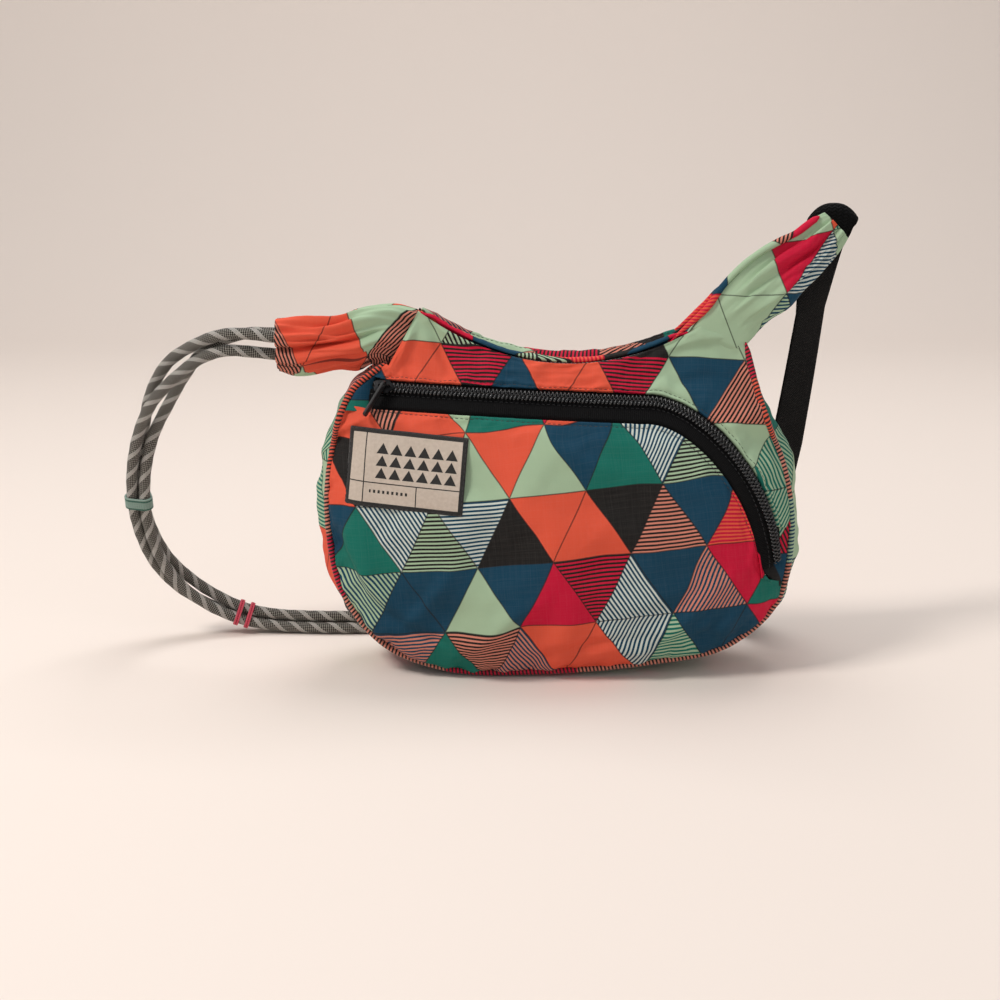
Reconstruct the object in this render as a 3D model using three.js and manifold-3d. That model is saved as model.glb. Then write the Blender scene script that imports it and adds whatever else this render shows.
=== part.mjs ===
// A crossbody sling bag: a plump, zipped fabric body with a curved front pocket, two gathered
// sleeves that grow out of its top corners, and a strap of three ropes joined to flat webbing.
// Millimetres, +Z up. The front faces -Y. The origin lies in the middle of the flat base.
import * as THREE from "three";
import { mergeVertices } from "three/addons/utils/BufferGeometryUtils.js";
import Module from "manifold-3d";

const wasm = await Module();
wasm.setup();
const { lerp, smoothstep, degToRad } = THREE.MathUtils;

// Body
const BODY_WIDTH = 308; // across the front seam
const BODY_HEIGHT = 240; // base to the corners of the mouth
const BELLY_FRONT = 57; // mid plane to the front at its fullest
const BELLY_BACK = 46; // mid plane to the back at its fullest
const LIP_DEPTH = 18; // mid plane to the front lip, in the middle of the mouth
const CORNER_DEPTH = 9; // half the body's thickness where it narrows into the sleeves
const LIP_SLOPE = 0.55; // how far the front comes forward for each millimetre down from the lip
const FACE_RADIUS = 900; // the front and back curve round the wearer
const ROLL_DEPTH = 17; // how far a panel turns back where it meets its seam
const ROLL_WIDTH = 28;
const FABRIC = 2; // padded cloth
const GUSSET_BULGE = 9;
const PIPING_RADIUS = 2.2;
const SEAM_GAP = 0.5; // air between a panel's edge and the piping beside it

// Mouth and its zip
const MOUTH_DIP = 30; // corners of the mouth down to its lowest point
const MOUTH_RADIUS = 165;
const PLACKET_RISE = 4; // the hem's round top over the lip
const PLACKET_CLOTH = 1.4;
const MAIN_ZIP_DROP = 4; // hem's edge down to the zip
const MAIN_ZIP_REACH = degToRad(29); // half of the zip's arc

// Zips, both of one size
const COIL_SPLIT = 1.3; // gap between the two rows of teeth
const COIL_WIDTH = 2.4; // one row
const COIL_HEIGHT = 2.5;
const TAPE_THICKNESS = 0.8;
const SLIDER_LENGTH = 13;
const SLIDER_WIDTH = 9.6;
const SLIDER_PLATE = 1.2;
const RUNNING_GAP = 0.45;
const WIRE_RADIUS = 0.6;
const PULL_LENGTH = 27;
const PULL_WIDTH = 6;
const PULL_THICKNESS = 1.6;

// Front pocket
const ZIP_UPPER_EDGE = 4.8; // middle of the teeth to the cloth above
const ZIP_LOWER_EDGE = 13.5; // middle of the teeth to the pocket's own cloth
const POCKET_DEPTH = 16; // pocket panel to the lining behind it
const LABEL_WIDTH = 77;
const LABEL_HEIGHT = 49;
const LABEL_THICKNESS = 0.9;

// Strap
const ROPE_DIAMETER = 8;
const WEBBING_WIDTH = 38;
const WEBBING_THICKNESS = 1.5;
const WEBBING_EDGE = 0.8; // share of its thickness that is left at its edges
const CLEARANCE = 0.35; // between pieces that touch or run on each other

const INSIDE = new THREE.Vector3(0, 0, BODY_HEIGHT * 0.42);
const FRONT = -1;
const BACK = 1;

// The seam between a main panel and the gusset, from under the left sleeve round the base to the
// right sleeve, as shares of the body's width and height.
const SEAM_SHAPE = [
  [-0.373, 0.871],
  [-0.45, 0.788],
  [-0.494, 0.604],
  [-0.5, 0.417],
  [-0.47, 0.229],
  [-0.383, 0.087],
  [-0.243, 0.021],
  [-0.032, 0.018],
  [0.195, 0.042],
  [0.364, 0.083],
  [0.471, 0.2],
  [0.5, 0.383],
  [0.481, 0.583],
  [0.429, 0.75],
  [0.394, 0.925],
];
const seamCurve = new THREE.CatmullRomCurve3(
  SEAM_SHAPE.map(
    ([across, up]) =>
      new THREE.Vector3(across * BODY_WIDTH, 0, up * BODY_HEIGHT),
  ),
);
const seamSamples = seamCurve.getSpacedPoints(160);
const SEAM_COLUMNS = 42; // steps of the gusset and the piping along the seam
const PIPING_SIDES = 6;

// The mouth is an arc that sags between the corners.
const mouthX = 0.02 * BODY_WIDTH;
const mouthZ = BODY_HEIGHT - MOUTH_DIP;
const mouthCentreZ = mouthZ + MOUTH_RADIUS;
const mouthLeft = Math.asin((-0.302 * BODY_WIDTH - mouthX) / MOUTH_RADIUS);
const mouthRight = Math.asin((0.296 * BODY_WIDTH - mouthX) / MOUTH_RADIUS);

// A point on an arc about the mouth's centre, in the plane y = 0.
function mouthPoint(angle, radius) {
  return new THREE.Vector3(
    mouthX + radius * Math.sin(angle),
    0,
    mouthCentreZ - radius * Math.cos(angle),
  );
}

// The smaller or the larger of two values, with a rounded change from one to the other.
function softMin(a, b, soft) {
  const h = Math.max(soft - Math.abs(a - b), 0) / soft;
  return Math.min(a, b) - (h * h * soft) / 4;
}
function softMax(a, b, soft) {
  return -softMin(-a, -b, soft);
}

function seamDistance(x, z) {
  const p = new THREE.Vector3(x, 0, z);
  const stretch = new THREE.Line3();
  const foot = new THREE.Vector3();
  let nearest = Infinity;
  for (let i = 0; i + 1 < seamSamples.length; i++) {
    stretch.set(seamSamples[i], seamSamples[i + 1]).closestPointToPoint(p, true, foot);
    nearest = Math.min(nearest, foot.distanceTo(p));
  }
  return nearest;
}

// Distance of the front or back cloth from the mid plane, over the point (x, z).
function faceDepth(x, z, belly) {
  const slope = LIP_DEPTH + LIP_SLOPE * (mouthZ - z);
  const profile = softMax(softMin(belly, slope, 24), CORNER_DEPTH + 3, 8);
  const turn = Math.max(1 - seamDistance(x, z) / ROLL_WIDTH, 0);
  const low =
    1 - smoothstep(z, mouthZ - 2 * ROLL_WIDTH, mouthZ - 1.2 * ROLL_WIDTH);
  const roll = ROLL_DEPTH * turn ** 2 * low;
  return softMax(profile - (x * x) / (2 * FACE_RADIUS), CORNER_DEPTH, 6) - roll;
}
// A point on the front or back cloth, or the given distance under it.
function facePoint(x, z, side, sunk = 0) {
  const belly = side === FRONT ? BELLY_FRONT : BELLY_BACK;
  const depth = faceDepth(x, z, belly);
  const step = 0.5;
  const outwards = new THREE.Vector3(
    (depth - faceDepth(x + step, z, belly)) / step,
    side,
    (depth - faceDepth(x, z + step, belly)) / step,
  ).normalize();
  return new THREE.Vector3(x, side * depth, z).addScaledVector(outwards, -sunk);
}

// Geometry from vertices and faces, with its faces turned outwards.
function geometryOf(points, faces) {
  let volume = 0;
  for (const [a, b, c] of faces)
    volume += points[a].dot(points[b].clone().cross(points[c]));
  const index = faces.flatMap(([a, b, c]) => (volume < 0 ? [a, c, b] : [a, b, c]));
  const geometry = new THREE.BufferGeometry().setFromPoints(points);
  geometry.setIndex(index);
  geometry.computeVertexNormals();
  return geometry;
}

// A closed skin over rings that have the same number of points each.
function loft(rings) {
  const n = rings[0].length;
  const points = rings.flat();
  const faces = [];
  for (let i = 0; i + 1 < rings.length; i++)
    for (let j = 0; j < n; j++) {
      const a = i * n + j;
      const b = i * n + ((j + 1) % n);
      faces.push([a, b, b + n], [a, b + n, a + n]);
    }
  for (const [first, flip] of [
    [0, true],
    [(rings.length - 1) * n, false],
  ])
    for (let j = 1; j + 1 < n; j++)
      faces.push(
        flip
          ? [first, first + j + 1, first + j]
          : [first, first + j, first + j + 1],
      );
  return geometryOf(points, faces);
}

// A sheet of cloth from a grid of points on its outer face, thickened towards the bag's inside.
function clothSheet(grid, thickness, inside = INSIDE) {
  const rows = grid.length;
  const columns = grid[0].length;
  const at = (i, j) =>
    grid[Math.min(Math.max(i, 0), rows - 1)][Math.min(Math.max(j, 0), columns - 1)];
  const inner = grid.map((row, i) =>
    row.map((p, j) => {
      const along = at(i, j + 1).clone().sub(at(i, j - 1));
      const across = at(i + 1, j).clone().sub(at(i - 1, j));
      const normal = along.cross(across).normalize();
      if (normal.dot(p.clone().sub(inside)) < 0) normal.negate();
      return p.clone().addScaledVector(normal, -thickness);
    }),
  );
  const outerAt = (i, j) => i * columns + j;
  const innerAt = (i, j) => (rows + i) * columns + j;
  const faces = [];
  const quad = (a, b, c, d) => faces.push([a, b, c], [a, c, d]);
  for (let i = 0; i + 1 < rows; i++)
    for (let j = 0; j + 1 < columns; j++) {
      quad(outerAt(i, j), outerAt(i, j + 1), outerAt(i + 1, j + 1), outerAt(i + 1, j));
      quad(innerAt(i, j), innerAt(i + 1, j), innerAt(i + 1, j + 1), innerAt(i, j + 1));
    }
  for (let j = 0; j + 1 < columns; j++) {
    quad(outerAt(0, j + 1), outerAt(0, j), innerAt(0, j), innerAt(0, j + 1));
    const last = rows - 1;
    quad(outerAt(last, j), outerAt(last, j + 1), innerAt(last, j + 1), innerAt(last, j));
  }
  for (let i = 0; i + 1 < rows; i++) {
    quad(outerAt(i, 0), outerAt(i + 1, 0), innerAt(i + 1, 0), innerAt(i, 0));
    const last = columns - 1;
    quad(outerAt(i + 1, last), outerAt(i, last), innerAt(i, last), innerAt(i + 1, last));
  }
  return geometryOf([...grid.flat(), ...inner.flat()], faces);
}

// A bar of rectangular section along frames {p, side, up}.
function bar(frames, sideFrom, sideTo, upFrom, upTo) {
  return loft(
    frames.map(({ p, side, up }) =>
      [
        [sideFrom, upFrom],
        [sideTo, upFrom],
        [sideTo, upTo],
        [sideFrom, upTo],
      ].map(([s, u]) =>
        p.clone().addScaledVector(side, s).addScaledVector(up, u),
      ),
    ),
  );
}

function tube(points, radius, sides, steps) {
  const outline = new THREE.Shape().absarc(0, 0, radius, 0, 2 * Math.PI);
  return new THREE.ExtrudeGeometry(outline, {
    steps,
    curveSegments: sides / 2,
    extrudePath: new THREE.CatmullRomCurve3(points, false, "centripetal"),
  });
}

// Joins and cuts, on closed geometry.
function toSolid(geometry) {
  const bare = geometry.clone();
  for (const name of ["normal", "uv"]) bare.deleteAttribute(name);
  const merged = mergeVertices(bare, 1e-4);
  return new wasm.Manifold(
    new wasm.Mesh({
      numProp: 3,
      vertProperties: merged.attributes.position.array,
      triVerts: new Uint32Array(merged.index.array),
    }),
  );
}
function fromSolid(solid) {
  const { vertProperties, triVerts } = solid.getMesh();
  const geometry = new THREE.BufferGeometry();
  geometry.setAttribute("position", new THREE.BufferAttribute(vertProperties, 3));
  geometry.setIndex(new THREE.BufferAttribute(triVerts, 1));
  geometry.computeVertexNormals();
  return geometry;
}
function join(...geometries) {
  return fromSolid(
    geometries.map(toSolid).reduce((whole, piece) => whole.add(piece)),
  );
}
function cut(geometry, ...tools) {
  return fromSolid(
    tools.map(toSolid).reduce((left, tool) => left.subtract(tool), toSolid(geometry)),
  );
}
function box(x0, x1, y0, y1, z0, z1) {
  return new THREE.BoxGeometry(x1 - x0, y1 - y0, z1 - z0).translate(
    (x0 + x1) / 2,
    (y0 + y1) / 2,
    (z0 + z1) / 2,
  );
}

// Materials
const cloth = (colour) =>
  new THREE.MeshStandardMaterial({ color: colour, roughness: 0.85, metalness: 0 });
const SALMON_STRIPE = cloth(0xa8675c);
const LINING_GREY = cloth(0x4b4d50);
const TAPE_BLACK = cloth(0x141414);
const ROPE_GREY = cloth(0x77756f);
const WHIPPING_GREEN = cloth(0x2f6b57);
const WHIPPING_RED = cloth(0xb5344a);
const LABEL_CREAM = cloth(0xcfc2b4);
const PLASTIC_BLACK = new THREE.MeshStandardMaterial({
  color: 0x0c0c0c,
  roughness: 0.45,
  metalness: 0,
});
const COATED_METAL = new THREE.MeshStandardMaterial({
  color: 0x161616,
  roughness: 0.35,
  metalness: 0.7,
});

// The cloth is printed with triangles in six inks. Each triangle is a cell of a lattice, found
// from the place across the bag and the way down its girth.
const PRINT_SIDE = 52; // edge of a triangle
const INKS = [0xe8633f, 0xc5173f, 0x1f7a68, 0xa4c795, 0x14485a, 0x26282b];
const PRINTED_CLOTH = new THREE.MeshStandardMaterial({
  vertexColors: true,
  roughness: 0.85,
  metalness: 0,
});
function inkAt(across, down) {
  const row = down / (PRINT_SIDE * Math.sin(Math.PI / 3));
  const skew = across / PRINT_SIDE - row / 2;
  const [i, j] = [Math.floor(skew), Math.floor(row)];
  const upper = skew - i + (row - j) > 1 ? 1 : 0;
  const cell = 5 * i + 3 * j + 2 * upper + 2 * Math.abs((i * j) % 3);
  return new THREE.Color(INKS[((cell % INKS.length) + INKS.length) % INKS.length]);
}
function printed(geometry) {
  const cloth = geometry.index ? geometry.toNonIndexed() : geometry;
  const place = cloth.attributes.position;
  const colours = [];
  for (let i = 0; i < place.count; i += 3) {
    const mean = (get) => (get(i) + get(i + 1) + get(i + 2)) / 3;
    const down = mean((k) => place.getZ(k)) - 0.6 * mean((k) => place.getY(k));
    const ink = inkAt(mean((k) => place.getX(k)), down);
    for (let k = 0; k < 3; k++) colours.push(ink.r, ink.g, ink.b);
  }
  cloth.setAttribute("color", new THREE.Float32BufferAttribute(colours, 3));
  cloth.computeVertexNormals();
  return cloth;
}

const bag = new THREE.Group();
function add(name, geometry, material) {
  const mesh = new THREE.Mesh(geometry, material);
  mesh.name = name;
  bag.add(mesh);
  return mesh;
}

// The pocket zip runs straight below the mouth, then bends down to the right end of the seam.
const zipStart = [-0.412 * BODY_WIDTH, 0.81 * BODY_HEIGHT];
const zipBend = [0.188 * BODY_WIDTH, 0.776 * BODY_HEIGHT];
const zipEnd = [0.468 * BODY_WIDTH, 0.305 * BODY_HEIGHT];
const zipRun = (zipBend[1] - zipStart[1]) / (zipBend[0] - zipStart[0]);
const bendReach = 0.11 * BODY_WIDTH;
const zipPath = new THREE.Path();
zipPath.moveTo(...zipStart);
zipPath.lineTo(...zipBend);
zipPath.bezierCurveTo(
  zipBend[0] + bendReach,
  zipBend[1] + bendReach * zipRun,
  0.455 * BODY_WIDTH,
  0.57 * BODY_HEIGHT,
  ...zipEnd,
);
const zipLength = zipPath.getLength();

// Where the pocket zip is at a distance along it: its point on the cloth, its direction, the
// direction across it, and the way out of the cloth.
function zipFrame(distance) {
  const share = THREE.MathUtils.clamp(distance / zipLength, 0, 1);
  const here = zipPath.getPointAt(share);
  const ahead = zipPath.getTangentAt(share);
  const p = facePoint(here.x, here.y, FRONT);
  const step = 0.5;
  const next = facePoint(here.x + step * ahead.x, here.y + step * ahead.y, FRONT);
  const beside = facePoint(here.x - step * ahead.y, here.y + step * ahead.x, FRONT);
  const along = next.sub(p).normalize();
  const up = along.clone().cross(beside.sub(p)).normalize();
  if (up.y > 0) up.negate();
  const side = up.clone().cross(along);
  return { p, along, side, up };
}
function zipFrames(from, to, count) {
  return Array.from({ length: count + 1 }, (_, i) =>
    zipFrame(lerp(from, to, i / count)),
  );
}
// A line beside the pocket zip, in the face's own (x, z), at shares 0 to 1 of a stretch.
function besideZip(offset, from, to, share) {
  const at = THREE.MathUtils.clamp(lerp(from, to, share) / zipLength, 0, 1);
  const here = zipPath.getPointAt(at);
  const ahead = zipPath.getTangentAt(at);
  return new THREE.Vector2(here.x - offset * ahead.y, here.y + offset * ahead.x);
}

// The seam's own line, moved in or out, in the face's (x, z), at shares 0 to 1 of its length.
function besideSeam(offset, share) {
  const here = seamCurve.getPointAt(share);
  const ahead = seamCurve.getTangentAt(share);
  // The seam runs down the left side first, so the bag's inside lies to its left hand.
  return new THREE.Vector2(here.x - offset * ahead.z, here.z + offset * ahead.x);
}
const seamInset = PIPING_RADIUS + SEAM_GAP;
function seamShareNear(x, z) {
  let best = 0;
  seamSamples.forEach((q, i) => {
    const far = (p) => Math.hypot(p.x - x, p.z - z);
    if (far(q) < far(seamSamples[best])) best = i;
  });
  return best / (seamSamples.length - 1);
}

// A face panel between an upper and a lower line, which are lists of (x, z) of one length.
function facePanel(upper, lower, side, rows, sunk = () => 0) {
  return Array.from({ length: rows + 1 }, (_, i) => {
    const v = i / rows;
    return upper.map((top, j) => {
      const q = top.clone().lerp(lower[j], v);
      return facePoint(q.x, q.y, side, sunk(v));
    });
  });
}
function line(count, at) {
  return Array.from({ length: count + 1 }, (_, j) => at(j / count));
}
const lipInset = 0.8; // the panels' top edge lies this far under the hem
function lipPoint(angle) {
  const p = mouthPoint(angle, MOUTH_RADIUS + lipInset);
  return new THREE.Vector2(p.x, p.z);
}
const seamTopLeft = besideSeam(seamInset + 0.5, 0);
const seamTopRight = besideSeam(seamInset + 0.5, 1);

// Pocket panel: from the zip's lower tape down to the seam.
const pocketLeft = seamShareNear(-0.46 * BODY_WIDTH, 0.76 * BODY_HEIGHT);
const pocketRight = seamShareNear(0.49 * BODY_WIDTH, 0.26 * BODY_HEIGHT);
add(
  "pocket_panel",
  printed(
    clothSheet(
      facePanel(
        line(24, (u) => besideZip(-ZIP_LOWER_EDGE, 2, zipLength, u)),
        line(24, (u) => besideSeam(seamInset, lerp(pocketLeft, pocketRight, u))),
        FRONT,
        7,
      ),
      FABRIC,
    ),
  ),
  PRINTED_CLOTH,
);

// Upper front panel: up the left edge, along the mouth, across the foot of the right sleeve and
// down the right side, down to the zip's upper tape.
const stripEnd = zipLength - 30;
const stripFoot = seamShareNear(0.5 * BODY_WIDTH, 0.42 * BODY_HEIGHT);
const upperLeft = seamShareNear(-0.4 * BODY_WIDTH, 0.842 * BODY_HEIGHT);
const upperStart = 10;
function frontTop() {
  const left = line(4, (u) => besideSeam(seamInset, lerp(upperLeft, 0, u)));
  const edge = line(3, (u) => seamTopLeft.clone().lerp(lipPoint(mouthLeft), u));
  const lip = line(14, (u) => lipPoint(lerp(mouthLeft, mouthRight, u)));
  const foot = line(3, (u) => lipPoint(mouthRight).lerp(seamTopRight, u));
  const right = line(9, (u) => besideSeam(seamInset, lerp(1, stripFoot, u)));
  return [left, edge, lip, foot, right].flatMap((part, i) =>
    i ? part.slice(1) : part,
  );
}
// Shares of the zip's length under each of those stretches.
const underStretch = [
  [4, 0.03],
  [3, 0.06],
  [14, 0.6],
  [3, 0.7],
  [9, 1],
];
function frontFoot() {
  const shares = [0];
  for (const [count, last] of underStretch) {
    const first = shares.at(-1);
    for (let k = 1; k <= count; k++) shares.push(lerp(first, last, k / count));
  }
  return shares.map((u) => besideZip(ZIP_UPPER_EDGE, upperStart, stripEnd, u));
}
add(
  "front_upper_panel",
  printed(clothSheet(facePanel(frontTop(), frontFoot(), FRONT, 4), FABRIC)),
  PRINTED_CLOTH,
);

// Back panel: from the mouth's line down to the seam, in one piece.
function backTop() {
  const edge = line(3, (u) => seamTopLeft.clone().lerp(lipPoint(mouthLeft), u));
  const lip = line(16, (u) => lipPoint(lerp(mouthLeft, mouthRight, u)));
  const foot = line(3, (u) => lipPoint(mouthRight).lerp(seamTopRight, u));
  return [...edge, ...lip.slice(1), ...foot.slice(1)];
}
const backUpper = backTop();
const backInset = seamInset + 0.9;
const backLower = line(backUpper.length - 1, (u) =>
  besideSeam(backInset, lerp(0.03, 0.97, u)),
);
add(
  "back_panel",
  printed(clothSheet(facePanel(backUpper, backLower, BACK, 8), FABRIC)),
  PRINTED_CLOTH,
);

// Lining behind the front pocket: sewn in at the seam and above the zip, slack in between.
const LINING_PROFILE = [
  [0, 0.38],
  [0.14, 0.6],
  [0.5, 1],
  [0.88, 0.7],
  [1, 0.45],
];
function liningSunk(v) {
  const i = LINING_PROFILE.findIndex(([at]) => at >= v);
  if (i < 1) return LINING_PROFILE[0][1] * POCKET_DEPTH;
  const [a, from] = LINING_PROFILE[i - 1];
  const [b, to] = LINING_PROFILE[i];
  return lerp(from, to, (v - a) / (b - a)) * POCKET_DEPTH;
}
const LINING_CLOTH = 0.8;
add(
  "pocket_lining",
  clothSheet(
    facePanel(
      line(16, (u) => besideZip(ZIP_UPPER_EDGE, upperStart + 18, stripEnd - 10, u)),
      line(16, (u) => besideSeam(seamInset + 8, lerp(pocketLeft + 0.03, pocketRight, u))),
      FRONT,
      7,
      liningSunk,
    ),
    LINING_CLOTH,
  ),
  LINING_GREY,
);

// Gusset: a strip round the sides and the base that swells between its seams and lies flat
// where the bag stands on it.
function gussetGrid(rows) {
  return Array.from({ length: rows + 1 }, (_, i) => {
    const t = i / rows;
    return line(SEAM_COLUMNS, (u) => {
      const here = seamCurve.getPointAt(u);
      const swell = GUSSET_BULGE * Math.min(1, 9 * u, 9 * (1 - u));
      const front = -faceDepth(here.x, here.z, BELLY_FRONT) + seamInset;
      const back = faceDepth(here.x, here.z, BELLY_BACK) - seamInset;
      const out = besideSeam(-swell * Math.sin(Math.PI * t), u);
      return new THREE.Vector3(out.x, lerp(front, back, t), Math.max(out.y, 0));
    });
  });
}
add("gusset", printed(clothSheet(gussetGrid(4), FABRIC)), PRINTED_CLOTH);

// Piping in both seams, with a ring at each of the gusset's columns.
function piping(side) {
  const route = line(SEAM_COLUMNS, (u) => {
    const here = seamCurve.getPointAt(u);
    return facePoint(here.x, here.z, side);
  });
  const rings = route.map((p, i) => {
    const ahead = route[Math.min(i + 1, SEAM_COLUMNS)];
    const along = ahead.clone().sub(route[Math.max(i - 1, 0)]).normalize();
    const across = new THREE.Vector3(0, 1, 0);
    across.addScaledVector(along, -along.y).normalize();
    const up = across.clone().cross(along);
    return line(PIPING_SIDES - 1, (u) => {
      const angle = (u * (PIPING_SIDES - 1) * 2 * Math.PI) / PIPING_SIDES;
      return p
        .clone()
        .addScaledVector(across, PIPING_RADIUS * Math.cos(angle))
        .addScaledVector(up, PIPING_RADIUS * Math.sin(angle));
    });
  });
  return loft(rings);
}
add("front_piping", piping(FRONT), SALMON_STRIPE);
add("back_piping", piping(BACK), SALMON_STRIPE);

// Hems along the mouth, front and back, which roll over towards the zip.
const hemGap = SLIDER_WIDTH / 2 + 1.2; // mid plane to a hem's inner edge
function hemGrid(side) {
  const columns = 20;
  const rows = 3;
  return Array.from({ length: rows + 1 }, (_, i) => {
    const t = i / rows;
    return line(columns, (u) => {
      const angle = lerp(mouthLeft * 0.93, mouthRight * 0.93, u);
      const lip = mouthPoint(angle, MOUTH_RADIUS);
      const belly = side === FRONT ? BELLY_FRONT : BELLY_BACK;
      const depth = faceDepth(lip.x, lip.z, belly);
      const rise = PLACKET_RISE * Math.sin(Math.PI * (0.12 + 0.8 * t)) - 2.2 * t;
      const p = mouthPoint(angle, MOUTH_RADIUS - rise);
      p.y = side * lerp(depth, hemGap, t);
      return p;
    });
  });
}
add("front_hem", printed(clothSheet(hemGrid(FRONT), PLACKET_CLOTH)), PRINTED_CLOTH);
add("back_hem", printed(clothSheet(hemGrid(BACK), PLACKET_CLOTH)), PRINTED_CLOTH);

// Teeth and tape of a zip, from frames whose side points to its upper or back row.
const tapeTop = -COIL_HEIGHT - CLEARANCE;
const coilRise = 0.3; // the teeth stand this far over the cloth
function teeth(frames, hand) {
  const near = (hand * COIL_SPLIT) / 2;
  const far = hand * (COIL_SPLIT / 2 + COIL_WIDTH);
  return bar(frames, near, far, tapeTop + CLEARANCE, coilRise);
}
const pocketZip = zipFrames(0, zipLength - 2, 32);
// The pocket's tapes follow the cloth, from the split between the teeth to under the panels.
function pocketTape(from, to, hand, reach) {
  const rows = 2;
  const grid = Array.from({ length: rows + 1 }, (_, i) =>
    line(30, (u) => {
      const offset = hand * lerp(COIL_SPLIT / 2, reach, i / rows);
      const q = besideZip(offset, from, to, u);
      return facePoint(q.x, q.y, FRONT, -tapeTop);
    }),
  );
  return clothSheet(grid, TAPE_THICKNESS);
}
const TAPE_TUCK = 3.2; // the tape's width under each panel
add("pocket_zip_teeth_upper", teeth(pocketZip, 1), PLASTIC_BLACK);
add("pocket_zip_teeth_lower", teeth(pocketZip, -1), PLASTIC_BLACK);
add(
  "pocket_zip_tape_upper",
  pocketTape(14, zipLength - 30, 1, ZIP_UPPER_EDGE + TAPE_TUCK),
  TAPE_BLACK,
);
add(
  "pocket_zip_tape_lower",
  pocketTape(1, zipLength - 3, -1, ZIP_LOWER_EDGE + TAPE_TUCK),
  TAPE_BLACK,
);

// The mouth's zip lies on an arc about the mouth's centre, so its side is the Y axis.
function mouthFrame(angle) {
  const p = mouthPoint(angle, MOUTH_RADIUS + MAIN_ZIP_DROP);
  const along = new THREE.Vector3(Math.cos(angle), 0, Math.sin(angle));
  const up = new THREE.Vector3(-Math.sin(angle), 0, Math.cos(angle));
  return { p, along, side: new THREE.Vector3(0, 1, 0), up };
}
const mouthFrames = line(20, (u) =>
  mouthFrame(lerp(-MAIN_ZIP_REACH, MAIN_ZIP_REACH, u)),
);
const mainTapeReach = CORNER_DEPTH - FABRIC - CLEARANCE;
function mainTape(hand) {
  const near = (hand * COIL_SPLIT) / 2;
  return bar(mouthFrames, near, hand * mainTapeReach, tapeTop - TAPE_THICKNESS, tapeTop);
}
add("main_zip_teeth_front", teeth(mouthFrames, -1), PLASTIC_BLACK);
add("main_zip_teeth_back", teeth(mouthFrames, 1), PLASTIC_BLACK);
add("main_zip_tape_front", mainTape(-1), TAPE_BLACK);
add("main_zip_tape_back", mainTape(1), TAPE_BLACK);

// A slider in its own frame: x along the zip, y across it, z out of the cloth. Two plates are
// joined by a blade between the rows of teeth, and a wire bail stands on the top plate.
const plateBottom = coilRise + RUNNING_GAP;
const plateTop = plateBottom + SLIDER_PLATE;
const underTape = tapeTop - TAPE_THICKNESS - RUNNING_GAP;
const bailHeight = 3.5; // plate to the middle of the bail's wire
const bailHalf = 3.4; // between the middles of its legs, halved
function plate(bottom, halfWidth) {
  const half = SLIDER_LENGTH / 2;
  const outline = new THREE.Shape();
  outline.moveTo(-half, -halfWidth * 0.72);
  outline.lineTo(half * 0.45, -halfWidth);
  outline.absarc(half - halfWidth * 0.55, 0, halfWidth * 0.55, -0.5 * Math.PI, 0.5 * Math.PI);
  outline.lineTo(half * 0.45, halfWidth);
  outline.lineTo(-half, halfWidth * 0.72);
  outline.closePath();
  return new THREE.ExtrudeGeometry(outline, {
    depth: SLIDER_PLATE,
    bevelEnabled: false,
    curveSegments: 8,
  }).translate(0, 0, bottom);
}
function bailWire(radius) {
  const low = plateTop - 0.4;
  const high = plateTop + bailHeight;
  const corner = 1;
  return tube(
    [
      new THREE.Vector3(-bailHalf, 0, low),
      new THREE.Vector3(-bailHalf, 0, high - corner),
      new THREE.Vector3(-bailHalf + corner, 0, high),
      new THREE.Vector3(bailHalf - corner, 0, high),
      new THREE.Vector3(bailHalf, 0, high - corner),
      new THREE.Vector3(bailHalf, 0, low),
    ],
    radius,
    6,
    11,
  );
}
function sliderGeometry() {
  const blade = COIL_SPLIT / 2 - CLEARANCE;
  return join(
    plate(plateBottom, SLIDER_WIDTH / 2),
    plate(underTape - SLIDER_PLATE, SLIDER_WIDTH / 2),
    box(-2, 4, -blade, blade, underTape - 0.5, plateBottom + 0.5),
    bailWire(WIRE_RADIUS),
  );
}
function place(geometry, { p, along, side, up }) {
  const frame = new THREE.Matrix4().makeBasis(along, side, up).setPosition(p);
  return geometry.clone().applyMatrix4(frame);
}

// The pocket's slider stands at the zip's left end. Its pull hangs on the bail's wire, on edge.
const pocketSliderAt = SLIDER_LENGTH / 2 + 5;
const pocketSliderFrame = zipFrame(pocketSliderAt);
add(
  "pocket_zip_slider",
  place(sliderGeometry(), pocketSliderFrame),
  COATED_METAL,
);
const EYE_RADIUS = 1.9;
const EYE_INSET = 3.3; // pull's end to the middle of its eye
function tab(length, width, thickness, hole) {
  const half = width / 2;
  const corner = 2;
  const outline = new THREE.Shape();
  outline.moveTo(-length + EYE_INSET + corner, -half);
  outline.lineTo(0, -half);
  outline.absarc(0, 0, half, -0.5 * Math.PI, 0.5 * Math.PI);
  outline.lineTo(-length + EYE_INSET + corner, half);
  outline.quadraticCurveTo(-length + EYE_INSET, half, -length + EYE_INSET, half - corner);
  outline.lineTo(-length + EYE_INSET, -half + corner);
  outline.quadraticCurveTo(
    -length + EYE_INSET,
    -half,
    -length + EYE_INSET + corner,
    -half,
  );
  outline.holes.push(hole);
  return new THREE.ExtrudeGeometry(outline, {
    depth: thickness,
    bevelEnabled: false,
    curveSegments: 6,
  }).translate(0, 0, -thickness / 2);
}
const PULL_LEAN = degToRad(24); // the pull hangs towards the bag's left side
const eye = new THREE.Path().absarc(0, 0, EYE_RADIUS, 0, 2 * Math.PI, true);
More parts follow.
